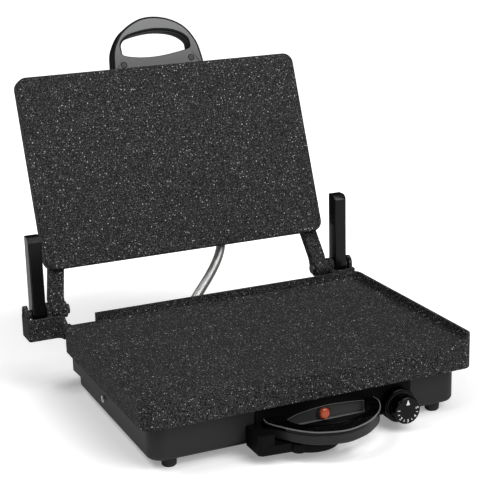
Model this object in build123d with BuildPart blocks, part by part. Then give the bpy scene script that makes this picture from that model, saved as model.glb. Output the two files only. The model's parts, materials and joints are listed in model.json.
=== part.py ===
"""Contact grill: a deep lower plate on a moulded base, a lid with its own plate on floating
hinge pins, two swing-down rests, two D handles, a thermostat and a spring-sleeved lead."""
import os
from math import cos, radians, sin, tan

from build123d import *

os.makedirs("parts", exist_ok=True)

# Lower plate, a die casting with its walls on the back and the right
plate_width = 364.0
plate_depth = 252.0
plate_corner = 13.0
plate_skirt = 26.0
skirt_wall = 4.0
floor_height = 76.0
floor_thickness = 5.0
wall_height = 10.0
wall_thickness = 3.0
wall_cove = 4.0
wall_runout = 30.0
rim_height = 1.0
drain_width = 38.0
ramp_width = 4.0

# Hinge: pins that float in slots of the plate's ears
hinge_x = -17.0
hinge_setback = 21.0
hinge_rise = 12.0
float_travel = 4.0
pin_radius = 3.0
slot_clearance = 0.15
pivot_clearance = 0.08
side_gap = 1.0
knuckle_width = 17.0
knuckle_radius = 9.0
knuckle_inset = 8.0
ear_wall = 5.5
ear_front_wall = 4.0
ear_setback = 4.0
ear_reach = 13.0
ear_drop = 14.0
lug_thickness = 4.0
lug_radius = 8.0
lug_cap = 3.35
spacer_length = 3.6
spacer_radius = 5.0
pin_head_radius = 5.5
pin_head_length = 3.0
ear_fillet = 6.0

# Swing-down rests
arm_width = 15.0
arm_depth = 16.7
arm_foot_gap = 0.5
arm_chamfer = 5.0
arm_recess = 2.0

# Lid, opened as it stands in use
lid_angle = 111.3
lid_width = 340.0
lid_length = 216.0
lid_corner = 12.0
lid_offset = 44.0
lid_thickness = 14.0
lid_floor = 5.0
closed_gap = 1.5
leg_top_x = 155.0
leg_width = 17.0
leg_thickness = 11.0
leg_overlap = 16.0
cover_inset = 10.0
cover_depth = 24.5
cover_wall = 2.5
cover_fillet = 8.0

# Heating elements
element_radius = 3.25
element_bend = 22.0
groove_clearance = 0.25
ridge_width = 22.0
ridge_height = 6.0
element_half_x = 130.0
element_half_y = 78.0
lid_element_half_y = 66.0
element_lead_gap = 26.0
element_lead = 16.0
clip_length = 20.0
clip_width = 8.0
clip_strap = 1.2
shield_sheet = 0.8
shield_depth = 17.0
shield_margin = 16.0
shield_flange = 3.0

# Base housing
housing_side_inset = 11.3
housing_front_inset = 13.0
housing_rear_inset = 6.0
housing_corner = 16.0
housing_wall = 2.5
housing_bottom = 10.0
housing_fillet = 5.0
flange_width = 30.0
band_depth = 18.0
band_relief = 3.8
band_height = 14.0
band_bottom = 26.0
post_radius = 6.0
boss_radius = 5.0
post_x = 155.0
post_y = 70.0
post_top = 52.0
screw_radius = 2.0
screw_clearance = 0.25
screw_head_radius = 3.7
screw_head_height = 2.4
foot_radius = 8.0
foot_inset_x = 22.7
foot_inset_y = 13.5
bottom_sheet = 1.2
bottom_overlap = 7.0
slot_pitch = 16.0

# D handles
handle_x = 7.0
handle_half_width = 58.0
handle_reach = 57.0
handle_straight = 5.0
handle_top = 35.0
handle_thickness = 14.0
handle_window_half = 43.0
handle_window_reach = 41.0
handle_fillet = 3.0
grip_half_width = 55.0
grip_rise = 53.5
grip_foot = 8.0
grip_window_half = 40.0
grip_window_low = 8.0
grip_window_high = 37.0
grip_screw_x = 41.5
grip_screw_rise = 3.5
grip_front_thickness = 7.5
grip_back_thickness = 7.0
grip_gap = 2.0
bracket_sheet = 2.0
bracket_half_width = 68.0
bracket_rise = 4.5

# Controls
knob_x = 95.0
knob_z = 23.5
knob_radius = 14.5
knob_length = 14.0
knob_gap = 1.0
knob_shell = 2.0
dial_boss_radius = 17.5
dial_boss_length = 12.0
shaft_radius = 3.0
shaft_clearance = 0.3
thermostat_size = 26.0
lamp_x = 13.0
lamp_z = 27.5
lamp_radius = 6.0
lamp_bezel = 1.6
lamp_dome = 3.0
lamp_body_length = 24.0

# Drip tray with its grip beside and under the front handle
tray_left = -72.0
tray_right = 15.0
tray_wall = 1.6
tray_depth = 100.0
tray_top = 19.4
tray_gap = 0.6
tray_front_reach = 32.0
tray_lip_reach = 41.0
tray_tab_width = 17.0
tray_tab_top = 31.0

# Lead between base and lid in its sprung sleeve
sleeve_radius = 4.6
sleeve_bore = 3.1
sleeve_groove = 0.7
sleeve_ribs = 52
sleeve_entry_x = -40.0
sleeve_clear = 1.2
sleeve_seat = 9.0
sleeve_exit_x = 31.0
sleeve_exit_n = -12.0
gland_radius = 6.5
gland_length = 8.0
mains_x = 120.0
mains_z = 30.0

# Places worked out from the sizes above
half_width = plate_width / 2
half_depth = plate_depth / 2
skirt_bottom = floor_height - plate_skirt
floor_underside = floor_height - floor_thickness
wall_top = floor_height + wall_height
hinge_y = half_depth + hinge_setback
hinge_z = floor_height + hinge_rise
wrap_start = half_width - wall_thickness - wall_runout
drain_end = -half_width + drain_width
pin_hole = pin_radius + pivot_clearance
slot_radius = pin_radius + slot_clearance

knuckle_out = lid_width / 2 - knuckle_inset + knuckle_width / 2
knuckle_in = knuckle_out - knuckle_width
ear_in = knuckle_out + side_gap
pocket_in = ear_in + ear_wall
arm_in = pocket_in + side_gap
arm_out = arm_in + arm_width
pocket_out = arm_out + spacer_length + 0.4
ear_out = pocket_out + lug_thickness
ear_front = half_depth + ear_setback
ear_back = hinge_y + ear_reach
pocket_front = ear_front + ear_front_wall
ear_top = wall_top
ear_bottom = floor_height - ear_drop
slot_top = hinge_z + float_travel
lug_top = slot_top + slot_radius + lug_cap

lid_turn = radians(lid_angle)
lid_plane = Plane(
    origin=(hinge_x, hinge_y, hinge_z),
    x_dir=(1, 0, 0),
    z_dir=(0, -sin(lid_turn), -cos(lid_turn)),
)
lid_face = hinge_rise - closed_gap
lid_back = lid_face - lid_thickness
lid_under = lid_face - lid_floor
lid_centre = lid_offset + lid_length / 2
lid_top = lid_offset + lid_length
cover_back = lid_back - cover_depth
cover_low = lid_offset + cover_inset
cover_high = lid_top - cover_inset

housing_width = plate_width - 2 * housing_side_inset
housing_front = -half_depth + housing_front_inset
housing_back = half_depth - housing_rear_inset
housing_depth = housing_back - housing_front
housing_y = (housing_front + housing_back) / 2
foot_x = housing_width / 2 - foot_inset_x
foot_y = housing_depth / 2 - foot_inset_y
flange_top = housing_bottom + housing_wall
cover_screw_x = housing_width / 2 - flange_width - 20
cover_screw_y = housing_depth / 2 - flange_width + bottom_overlap / 2
sleeve_y = half_depth + sleeve_radius + sleeve_clear
tray_front = housing_front - tray_front_reach
handle_root = housing_front - handle_straight
handle_split = handle_top - handle_thickness / 2
handle_bottom = handle_top - handle_thickness
tray_floor = housing_bottom + tray_gap / 2


def rounded(width, depth, corner, x=0.0, y=0.0, mode=Mode.ADD):
    """Rounded rectangle about a point of the sketch."""
    with Locations((x, y)):
        RectangleRounded(width, depth, corner, mode=mode)


def span(low, high, bottom, top, mode=Mode.ADD):
    """Rectangle between two sides of the sketch."""
    with Locations(((low + high) / 2, (bottom + top) / 2)):
        Rectangle(high - low, top - bottom, mode=mode)


def screw(plane, length, head_radius=screw_head_radius):
    """Pan-head screw whose head stands on the plane and whose shank runs below it."""
    with BuildSketch(plane.offset(-length)) as shank:
        Circle(screw_radius)
    extrude(shank.sketch, amount=length)
    with BuildSketch(plane) as head:
        Circle(head_radius)
    extrude(head.sketch, amount=screw_head_height)
    with BuildSketch(plane.offset(screw_head_height)) as cross:
        Rectangle(1.4 * head_radius, 0.9)
        Rectangle(0.9, 1.4 * head_radius)
    extrude(cross.sketch, amount=-1.0, mode=Mode.SUBTRACT)


def element_route(plane, half_x, half_y, turn):
    """Open loop of the tubular element, with both ends towards the turn side."""
    edge = turn * half_y
    out = turn * (half_y + element_lead)
    with BuildLine(plane) as route:
        FilletPolyline(
            (-element_lead_gap, out),
            (-element_lead_gap, edge),
            (-half_x, edge),
            (-half_x, -edge),
            (half_x, -edge),
            (half_x, edge),
            (element_lead_gap, edge),
            (element_lead_gap, out),
            radius=[element_lead * 0.45, element_bend, element_bend]
            + [element_bend, element_bend, element_lead * 0.45],
        )
    return route


def element_ridge(plane, half_x, half_y, centre, lead_side):
    """Raised band under a plate floor with the groove the element lies in."""
    for extra, deep, mode in (
        (ridge_width, ridge_height, Mode.ADD),
        (2 * (element_radius + groove_clearance), element_radius, Mode.SUBTRACT),
    ):
        start = 0 if mode == Mode.ADD else ridge_height - element_radius
        with BuildSketch(plane.offset(start)) as band:
            rounded(2 * half_x + extra, 2 * half_y + extra, element_bend + extra / 2, 0, centre)
            rounded(
                2 * half_x - extra, 2 * half_y - extra, element_bend - extra / 2, 0, centre,
                mode=Mode.SUBTRACT,
            )
        extrude(band.sketch, amount=deep, mode=mode)
    with BuildSketch(plane.offset(ridge_height - element_radius)) as leads:
        with Locations((0, centre + lead_side * (half_y + ridge_width / 2))):
            with GridLocations(2 * element_lead_gap, 1, 2, 1):
                Rectangle(2 * (element_radius + groove_clearance), ridge_width)
        corner = element_lead * 0.45 + 2 * (element_radius + groove_clearance)
        with Locations((0, centre + lead_side * (half_y + element_lead * 0.225))):
            with GridLocations(2 * element_lead_gap + element_lead * 0.45, 1, 2, 1):
                Rectangle(corner, corner)
    extrude(leads.sketch, amount=element_radius, mode=Mode.SUBTRACT)


def clip_places(half_x, half_y):
    """Centres of the element clips and whether each lies across X or Y."""
    run = half_x / 2
    return [(-half_x, 0, 0), (half_x, 0, 0)] + [
        (x, y, 90) for x in (-run, run) for y in (-half_y, half_y)
    ]


# Lower plate
with BuildPart() as lower_plate:
    with BuildSketch(Plane.XY.offset(skirt_bottom)):
        rounded(plate_width, plate_depth, plate_corner)
    extrude(amount=plate_skirt)
    with BuildSketch(Plane.XY.offset(skirt_bottom)):
        rounded(
            plate_width - 2 * skirt_wall, plate_depth - 2 * skirt_wall, plate_corner - skirt_wall
        )
    extrude(amount=plate_skirt - floor_thickness, mode=Mode.SUBTRACT)
    with BuildSketch(Plane.XY.offset(floor_height)):
        rounded(plate_width, plate_depth, plate_corner)
        rounded(
            plate_width - 2 * wall_thickness,
            plate_depth - 2 * wall_thickness,
            plate_corner - wall_thickness,
            mode=Mode.SUBTRACT,
        )
    extrude(amount=wall_height)
    inner_foot = lower_plate.edges().filter_by(
        lambda e: abs(e.center().Z - floor_height) < 0.01
        and abs(e.center().X) < half_width - 1
        and abs(e.center().Y) < half_depth - 1
    )
    fillet(inner_foot, wall_cove)
    # Front and left edges keep only a low rim, and the wall runs out past the right corner
    with BuildSketch(Plane.XZ.offset(-(half_depth - wall_thickness))):
        with BuildLine():
            Polyline(
                (-half_width - 1, floor_height + rim_height),
                (wrap_start, floor_height + rim_height),
                (half_width - wall_thickness, wall_top),
                (half_width - wall_thickness, wall_top + 1),
                (-half_width - 1, wall_top + 1),
                close=True,
            )
        make_face()
    extrude(amount=plate_depth, mode=Mode.SUBTRACT)
    # Drain at the rear left, level with the floor
    with BuildSketch(Plane.XY.offset(floor_height)):
        span(-half_width - 1, drain_end, half_depth - wall_thickness - wall_cove, half_depth + 1)
    extrude(amount=wall_height + 1, mode=Mode.SUBTRACT)
    # Left side runs up and back to the ear
    with BuildSketch(Plane.YZ.offset(-half_width)):
        with BuildLine():
            Polyline(
                (hinge_y - lid_offset + 1, floor_height),
                (half_depth, ear_top),
                (pocket_front, ear_top),
                (pocket_front, ear_bottom),
                (half_depth - skirt_wall, ear_bottom),
                (half_depth - skirt_wall, floor_underside),
                (hinge_y - lid_offset + 1, floor_underside),
                close=True,
            )
        make_face()
    extrude(amount=ramp_width)
    for side in (-1, 1):
        outer = hinge_x + side * ear_out
        inner = hinge_x + side * ear_in
        with BuildSketch(Plane.XY.offset(ear_bottom)):
            span(min(outer, inner), max(outer, inner), ear_front, ear_back)
            root = side * (half_width - ramp_width)
            span(min(outer, root), max(outer, root), ear_front, pocket_front)
        extrude(amount=ear_top - ear_bottom)
        with BuildSketch(Plane.XY.offset(ear_bottom)):
            tie = hinge_x + side * knuckle_in
            edge = side * half_width
            span(min(edge, tie), max(edge, tie), half_depth - skirt_wall, pocket_front)
        extrude(amount=floor_height - 1 - ear_bottom)
        # Lugs with the slots that the hinge pin floats in
        for low, high in ((ear_in, pocket_in), (pocket_out, ear_out)):
            face = hinge_x + min(side * low, side * high)
            with BuildSketch(Plane.YZ.offset(face)):
                with Locations((hinge_y, lug_top - lug_radius)):
                    Circle(lug_radius)
                span(
                    hinge_y - lug_radius, hinge_y + lug_radius, ear_top - 2, lug_top - lug_radius
                )
            extrude(amount=high - low)
        with BuildSketch(Plane.XY.offset(ear_bottom - 1)):
            gap = sorted((hinge_x + side * pocket_in, hinge_x + side * pocket_out))
            span(gap[0], gap[1], pocket_front, ear_back + 1)
        extrude(amount=lug_top - ear_bottom + 2, mode=Mode.SUBTRACT)
        with BuildSketch(Plane.YZ.offset(hinge_x + side * (ear_in - 0.5))):
            with Locations((hinge_y, hinge_z + float_travel / 2)):
                SlotCenterToCenter(float_travel, 2 * slot_radius, rotation=90)
        extrude(amount=side * (ear_out - ear_in + 1), mode=Mode.SUBTRACT)
    corner = lower_plate.edges().filter_by(Axis.Z).sort_by_distance(
        (-half_width, ear_front, (ear_top + ear_bottom) / 2)
    )[0]
    fillet(corner, ear_fillet)
    outer_corners = lower_plate.edges().filter_by(Axis.Z).filter_by(
        lambda e: abs(abs(e.center().X - hinge_x) - ear_out) < 0.01
        and min(abs(e.center().Y - ear_front), abs(e.center().Y - ear_back)) < 0.01
    )
    fillet(outer_corners, lug_thickness * 0.8)
    # Underside: screw bosses and the band that holds the element
    with BuildSketch(Plane.XY.offset(post_top)):
        with GridLocations(2 * post_x, 2 * post_y, 2, 2):
            Circle(boss_radius)
    extrude(amount=floor_underside - post_top)
    element_ridge(
        Plane.XY.offset(floor_underside).rotated((180, 0, 0)),
        element_half_x,
        element_half_y,
        0,
        -1,
    )
    with BuildSketch(Plane.XY.offset(post_top)):
        with GridLocations(2 * post_x, 2 * post_y, 2, 2):
            Circle(screw_radius)
    extrude(amount=floor_underside - post_top - 3, mode=Mode.SUBTRACT)

# Lower heating element, its clips and the reflector pan under it
element_z = floor_underside - ridge_height
lower_route = element_route(Plane.XY.offset(element_z), element_half_x, element_half_y, 1)
with BuildPart() as lower_element:
    with BuildSketch(
        Plane(origin=lower_route.line @ 0, z_dir=lower_route.line % 0)
    ):
        Circle(element_radius)
    sweep(path=lower_route.line)

with BuildPart() as lower_element_clips:
    for x, y, turn in clip_places(element_half_x, element_half_y):
        with BuildSketch(Plane.XY.offset(element_z - element_radius - clip_strap)):
            with Locations(Location((x, y, 0), (0, 0, turn))):
                Rectangle(clip_length, clip_width)
        extrude(amount=element_radius + clip_strap)
        with BuildSketch(Plane.XY.offset(element_z - element_radius)):
            with Locations(Location((x, y, 0), (0, 0, turn))):
                Rectangle(2 * (element_radius + groove_clearance), clip_width + 1)
        extrude(amount=element_radius, mode=Mode.SUBTRACT)


def shield_pan(plane, half_x, half_y, centre, lead_side):
    """Thin reflector pan, open towards the plate, notched where the element leaves it."""
    width = 2 * (half_x + shield_margin)
    depth = 2 * (half_y + shield_margin)
    corner = element_bend
    with BuildSketch(plane) as outside:
        rounded(width, depth, corner, 0, centre)
    extrude(outside.sketch, amount=shield_depth)
    with BuildSketch(plane) as flange:
        rounded(
            width + 2 * shield_flange, depth + 2 * shield_flange, corner + shield_flange, 0, centre
        )
    extrude(flange.sketch, amount=shield_sheet)
    with BuildSketch(plane) as inside:
        rounded(
            width - 2 * shield_sheet, depth - 2 * shield_sheet, corner - shield_sheet, 0, centre
        )
    extrude(inside.sketch, amount=shield_depth - shield_sheet, mode=Mode.SUBTRACT)
    with BuildSketch(plane) as notch:
        with Locations((0, centre + lead_side * depth / 2)):
            Rectangle(2 * (element_lead_gap + 2 * element_radius), 4 * shield_flange)
    extrude(notch.sketch, amount=ridge_height + 3 * element_radius, mode=Mode.SUBTRACT)


with BuildPart() as lower_reflector:
    under = Plane.XY.offset(floor_underside).rotated((180, 0, 0))
    shield_pan(under, element_half_x, element_half_y, 0, -1)

# Base housing
with BuildPart() as base_housing:
    with BuildSketch(Plane.XY.offset(housing_bottom)):
        rounded(housing_width, housing_depth, housing_corner, 0, housing_y)
    extrude(amount=floor_underside - housing_bottom)
    # Rear bumper band that fades out forwards along both sides
    with BuildSketch(Plane.XY.offset(band_bottom)):
        with BuildLine():
            Polyline(
                (-housing_width / 2, housing_back / 4),
                (-housing_width / 2 - band_relief, housing_back),
                (-housing_width / 2 + housing_corner / 2, housing_back + band_depth),
                (housing_width / 2 - housing_corner / 2, housing_back + band_depth),
                (housing_width / 2 + band_relief, housing_back),
                (housing_width / 2, housing_back / 4),
                close=True,
            )
        make_face()
    extrude(amount=band_height)
    fillet(
        base_housing.edges().filter_by(Axis.Z).filter_by(
            lambda e: e.center().Y > housing_back - 1 and e.center().Z < band_bottom + band_height
            and e.center().Z > band_bottom
        ),
        4,
    )
    fillet(base_housing.faces().sort_by(Axis.Z)[0].edges(), housing_fillet)
    with BuildSketch(Plane.XY.offset(flange_top)):
        rounded(
            housing_width - 2 * housing_wall,
            housing_depth - 2 * housing_wall,
            housing_corner - housing_wall,
            0,
            housing_y,
        )
    extrude(amount=floor_underside - flange_top, mode=Mode.SUBTRACT)
    with BuildSketch(Plane.XY.offset(housing_bottom)):
        rounded(
            housing_width - 2 * flange_width,
            housing_depth - 2 * flange_width,
            housing_corner,
            0,
            housing_y,
        )
    extrude(amount=housing_wall, mode=Mode.SUBTRACT)
    # Posts that carry the plate
    with BuildSketch(Plane.XY.offset(housing_bottom)):
        with GridLocations(2 * post_x, 2 * post_y, 2, 2):
            Circle(post_radius)
    extrude(amount=post_top - housing_bottom)
    with BuildSketch(Plane.XY.offset(housing_bottom)):
        with GridLocations(2 * post_x, 2 * post_y, 2, 2):
            Circle(screw_radius + screw_clearance)
    extrude(amount=post_top - housing_bottom, mode=Mode.SUBTRACT)
    with BuildSketch(Plane.XY.offset(housing_bottom)):
        with GridLocations(2 * post_x, 2 * post_y, 2, 2):
            Circle(screw_head_radius + screw_clearance)
    extrude(amount=screw_head_height + 1, mode=Mode.SUBTRACT)
    # Arched boss behind the dial
    with BuildSketch(Plane.XZ.offset(-housing_front)):
        with Locations((knob_x, knob_z)):
            Circle(dial_boss_radius)
        span(
            knob_x - 2 * dial_boss_radius,
            knob_x + 2 * dial_boss_radius,
            knob_z - 2 * dial_boss_radius,
            housing_bottom + 1,
            mode=Mode.SUBTRACT,
        )
    extrude(amount=dial_boss_length)
    # Openings in the front wall: dial shaft, lamp, handle screws and tray
    with BuildSketch(Plane.XZ.offset(-housing_front - housing_wall)):
        with Locations((knob_x, knob_z)):
            Circle(shaft_radius + 1.5)
    extrude(amount=dial_boss_length + 2 * housing_wall, mode=Mode.SUBTRACT)
    with BuildSketch(Plane.XZ.offset(-housing_front - housing_wall)):
        with Locations((lamp_x, lamp_z)):
            Circle(lamp_radius - 1)
        with Locations((handle_x, handle_split)):
            with GridLocations(handle_half_width + handle_window_half, 1, 2, 1):
                Circle(screw_radius + screw_clearance)
        span(
            tray_left + tray_tab_width - tray_gap,
            tray_right + tray_gap,
            housing_bottom - 1,
            tray_top + tray_gap,
        )
    extrude(amount=2 * housing_wall, mode=Mode.SUBTRACT)
    with BuildSketch(Plane.XY.offset(housing_bottom)):
        span(
            tray_left + tray_tab_width - tray_gap,
            tray_right + tray_gap,
            housing_front - 1,
            housing_front + flange_width + 1,
        )
    extrude(amount=housing_wall, mode=Mode.SUBTRACT)
    with BuildSketch(Plane.XY.offset(housing_bottom)):
        with Locations((0, housing_y)):
            with GridLocations(2 * cover_screw_x, 2 * cover_screw_y, 2, 2):
                Circle(screw_radius)
    extrude(amount=housing_wall, mode=Mode.SUBTRACT)
    # Rear band: the sprung lead goes down into it, then forward into the housing
    with BuildSketch(Plane.XY.offset(band_bottom + band_height)):
        with Locations((sleeve_entry_x, sleeve_y)):
            Circle(sleeve_radius + screw_clearance)
    extrude(amount=-sleeve_seat, mode=Mode.SUBTRACT)
    with BuildSketch(Plane.XZ.offset(-housing_back + housing_wall)):
        with Locations((sleeve_entry_x, band_bottom + band_height - sleeve_seat / 2)):
            Circle(sleeve_bore)
    extrude(amount=housing_back - housing_wall - sleeve_y, mode=Mode.SUBTRACT)
    with BuildSketch(Plane.XZ.offset(-housing_back + housing_wall)):
        with Locations((mains_x, mains_z)):
            Circle(gland_radius - 2)
    extrude(amount=-band_depth - 3 * housing_wall, mode=Mode.SUBTRACT)
    # Side screw pockets
    for side in (-1, 1):
        with BuildSketch(Plane.YZ.offset(side * (housing_width / 2 - 2 * housing_wall))):
            with Locations((housing_back / 5, band_bottom + 1)):
                Circle(screw_radius)
        extrude(amount=side * 3 * housing_wall, mode=Mode.SUBTRACT)

with BuildPart() as bottom_cover:
    with BuildSketch(Plane.XY.offset(housing_bottom - bottom_sheet)):
        rounded(
            housing_width - 2 * flange_width + 2 * bottom_overlap,
            housing_depth - 2 * flange_width + 2 * bottom_overlap,
            housing_corner,
            0,
            housing_y,
        )
        with Locations((0, housing_y + 45), (0, housing_y + 5)):
            with GridLocations(slot_pitch, 1, 12, 1):
                SlotOverall(28, 4, rotation=90, mode=Mode.SUBTRACT)
        with Locations((0, housing_y)):
            with GridLocations(2 * cover_screw_x, 2 * cover_screw_y, 2, 2):
                Circle(screw_radius + screw_clearance, mode=Mode.SUBTRACT)
    extrude(amount=bottom_sheet)

with BuildPart() as bottom_cover_screws:
    for x in (-cover_screw_x, cover_screw_x):
        for y in (housing_y - cover_screw_y, housing_y + cover_screw_y):
            screw(Plane(origin=(x, y, housing_bottom - bottom_sheet), z_dir=(0, 0, -1)), 3.5)

with BuildPart() as feet:
    for x in (-foot_x, foot_x):
        for y in (housing_y - foot_y, housing_y + foot_y):
            with BuildSketch(Plane.XZ.offset(-y)):
                with BuildLine():
                    Polyline(
                        (x, 0),
                        (x + foot_radius - 2, 0),
                        (x + foot_radius - 0.6, 1.4),
                        (x + foot_radius, housing_bottom),
                        (x, housing_bottom),
                        close=True,
                    )
                make_face()
            revolve(axis=Axis((x, y, 0), (0, 0, 1)))
            with BuildSketch(Plane.XY):
                with Locations((x, y)):
                    Circle(screw_head_radius + 1)
            extrude(amount=housing_bottom / 2, mode=Mode.SUBTRACT)
            with BuildSketch(Plane.XY):
                with Locations((x, y)):
                    Circle(screw_radius)
            extrude(amount=housing_bottom, mode=Mode.SUBTRACT)

with BuildPart() as foot_screws:
    for x in (-foot_x, foot_x):
        for y in (housing_y - foot_y, housing_y + foot_y):
            screw(Plane(origin=(x, y, housing_bottom / 2), z_dir=(0, 0, -1)), housing_bottom / 2)

with BuildPart() as plate_screws:
    head_seat = housing_bottom + screw_head_height + 1
    for x in (-post_x, post_x):
        for y in (-post_y, post_y):
            screw(
                Plane(origin=(x, y, head_seat), z_dir=(0, 0, -1)),
                floor_underside - 3 - head_seat,
            )

with BuildPart() as side_screws:
    for side in (-1, 1):
        at = (side * housing_width / 2, housing_back / 5, band_bottom + 1)
        screw(Plane(origin=at, z_dir=(side, 0, 0)), 2 * housing_wall)


def handle_ring(plane):
    """Outline of the front handle in plan: two roots on the wall and half an oval."""
    window_foot = handle_root + 2
    with BuildSketch(plane) as ring:
        with BuildLine():
            EllipticalCenterArc(
                (handle_x, handle_root),
                handle_half_width,
                handle_reach,
                start_angle=180,
                arc_size=180,
            )
            Polyline(
                (handle_x - handle_half_width, handle_root),
                (handle_x - handle_half_width, housing_front),
                (handle_x + handle_half_width, housing_front),
                (handle_x + handle_half_width, handle_root),
            )
        make_face()
        with BuildLine():
            EllipticalCenterArc(
                (handle_x, window_foot),
                handle_window_half,
                handle_window_reach,
                start_angle=180,
                arc_size=180,
            )
            Polyline(
                (handle_x - handle_window_half, window_foot),
                (handle_x - handle_window_half, housing_front + 1),
                (handle_x + handle_window_half, housing_front + 1),
                (handle_x + handle_window_half, window_foot),
            )
        make_face(mode=Mode.SUBTRACT)
    return ring


def handle_half(face_at):
    """One half of the front handle, from the split to its top or bottom face."""
    with BuildPart() as half:
        ring = handle_ring(Plane.XY.offset(handle_split))
        extrude(ring.sketch, amount=face_at - handle_split)
        face = half.faces().sort_by(Axis.Z)[-1 if face_at > handle_split else 0]
        fillet(face.edges().filter_by(lambda e: e.center().Y < housing_front - 0.5), handle_fillet)
        with BuildSketch(Plane.XZ.offset(-housing_front)):
            with Locations((handle_x, handle_split)):
                with GridLocations(handle_half_width + handle_window_half, 1, 2, 1):
                    Circle(screw_radius)
        extrude(amount=9, mode=Mode.SUBTRACT)
    return half


base_handle_top = handle_half(handle_top)
base_handle_bottom = handle_half(handle_bottom)

with BuildPart() as base_handle_screws:
    pitch = (handle_half_width + handle_window_half) / 2
    for x in (handle_x - pitch, handle_x + pitch):
        at = (x, housing_front + housing_wall, handle_split)
        screw(Plane(origin=at, x_dir=(1, 0, 0), z_dir=(0, 1, 0)), housing_wall + 8.5)

# Drip tray
tab_right = tray_left + tray_tab_width
with BuildPart() as drip_tray:
    with BuildSketch(Plane.XY.offset(tray_floor)):
        span(tab_right, tray_right, housing_front - 1, housing_front + tray_depth)
    extrude(amount=tray_top - tray_floor)
    # Grip: a tab beside the handle and a lip that bulges under it
    with BuildSketch(Plane.XY.offset(tray_floor)):
        with BuildLine():
            Polyline(
                (tray_right, housing_front - tray_gap),
                (tray_left, housing_front - tray_gap),
                (tray_left, tray_front + 3),
                (tray_left + 3, tray_front),
                (tab_right + 16, tray_front - 3),
            )
            ThreePointArc(
                (tab_right + 16, tray_front - 3),
                (tab_right + 19, housing_front - tray_lip_reach),
                (tab_right + 26, housing_front - tray_lip_reach - 1),
            )
            ThreePointArc(
                (tab_right + 26, housing_front - tray_lip_reach - 1),
                (tray_right - 4, housing_front - tray_lip_reach + 4),
                (tray_right, housing_front - tray_lip_reach + 10),
            )
            Line(
                (tray_right, housing_front - tray_lip_reach + 10),
                (tray_right, housing_front - tray_gap),
            )
        make_face()
    extrude(amount=tray_top - tray_floor)
    with BuildSketch(Plane.XY.offset(tray_top)):
        with BuildLine():
            Polyline(
                (tray_left, housing_front - tray_gap),
                (tray_left, tray_front + 3),
                (tray_left + 3, tray_front),
                (tab_right - 1, tray_front - 0.5),
                (tab_right - 1, tray_front + 14),
                (tray_left + 12, tray_front + 18),
                (tray_left + 12, housing_front - tray_gap),
                close=True,
            )
        make_face()
    extrude(amount=tray_tab_top - tray_top)
    with BuildSketch(Plane.XY.offset(tray_floor + tray_wall)):
        span(
            tab_right + tray_wall,
            tray_right - tray_wall,
            housing_front + tray_wall,
            housing_front + tray_depth - tray_wall,
        )
    extrude(amount=tray_top - tray_floor, mode=Mode.SUBTRACT)

# Controls
with BuildPart() as thermostat:
    body_front = housing_front + housing_wall
    with BuildSketch(Plane.XZ.offset(-body_front)):
        with Locations((knob_x, knob_z)):
            Rectangle(thermostat_size, thermostat_size - 6)
    extrude(amount=-18)
    with BuildSketch(Plane.XZ.offset(-body_front)):
        with Locations((knob_x, knob_z)):
            Circle(shaft_radius + 1.3)
    extrude(amount=5)
    with BuildSketch(Plane.XZ.offset(-body_front - 18)):
        with Locations((knob_x, knob_z)):
            with GridLocations(14, 1, 2, 1):
                Rectangle(0.8, 6.3)
    extrude(amount=-9)
    with BuildSketch(Plane.XZ.offset(-body_front - 12)):
        with Locations((knob_x, knob_z)):
            Circle(shaft_radius + shaft_clearance)
    extrude(amount=18, mode=Mode.SUBTRACT)

knob_back = housing_front - dial_boss_length - knob_gap
knob_face = knob_back - knob_length
with BuildPart() as thermostat_shaft:
    with BuildSketch(Plane.XZ.offset(-body_front - 11)):
        with Locations((knob_x, knob_z)):
            Circle(shaft_radius)
    extrude(amount=body_front + 11 - knob_back + knob_length - 4)

with BuildPart() as dial_knob:
    with BuildSketch(Plane.XZ.offset(-knob_back)):
        with Locations((knob_x, knob_z)):
            Circle(knob_radius)
    extrude(amount=knob_length)
    fillet(dial_knob.faces().sort_by(Axis.Y)[0].edges(), 1.5)
    with BuildSketch(Plane.XZ.offset(-knob_back)):
        with Locations((knob_x, knob_z)):
            Circle(knob_radius - knob_shell)
            Circle(shaft_radius + knob_shell, mode=Mode.SUBTRACT)
    extrude(amount=knob_length - 3, mode=Mode.SUBTRACT)
    with BuildSketch(Plane.XZ.offset(-knob_back)):
        with Locations((knob_x, knob_z)):
            Circle(shaft_radius)
    extrude(amount=knob_length - 4, mode=Mode.SUBTRACT)

lamp_seat = housing_front - lamp_bezel
lamp_stem = lamp_radius - 1.2
with BuildPart() as lamp_lens:
    with BuildSketch(Plane.XZ.offset(-housing_front - 6)):
        with Locations((lamp_x, lamp_z)):
            Circle(lamp_stem)
    extrude(amount=lamp_bezel + 6)
    with BuildSketch(Plane.XZ.offset(-lamp_seat)):
        with Locations((lamp_x, lamp_z)):
            Circle(lamp_radius)
    extrude(amount=lamp_dome)
    fillet(lamp_lens.faces().sort_by(Axis.Y)[0].edges(), lamp_dome - 0.4)

with BuildPart() as lamp_bezel_ring:
    with BuildSketch(Plane.XZ.offset(-housing_front)):
        with Locations((lamp_x, lamp_z)):
            Circle(lamp_radius + 1.6)
            Circle(lamp_radius - 1.2, mode=Mode.SUBTRACT)
    extrude(amount=lamp_bezel)

with BuildPart() as lamp_holder:
    with BuildSketch(Plane.XZ.offset(-housing_front - 6)):
        with Locations((lamp_x, lamp_z)):
            Circle(lamp_radius - 1.2)
    extrude(amount=-lamp_body_length)

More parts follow.
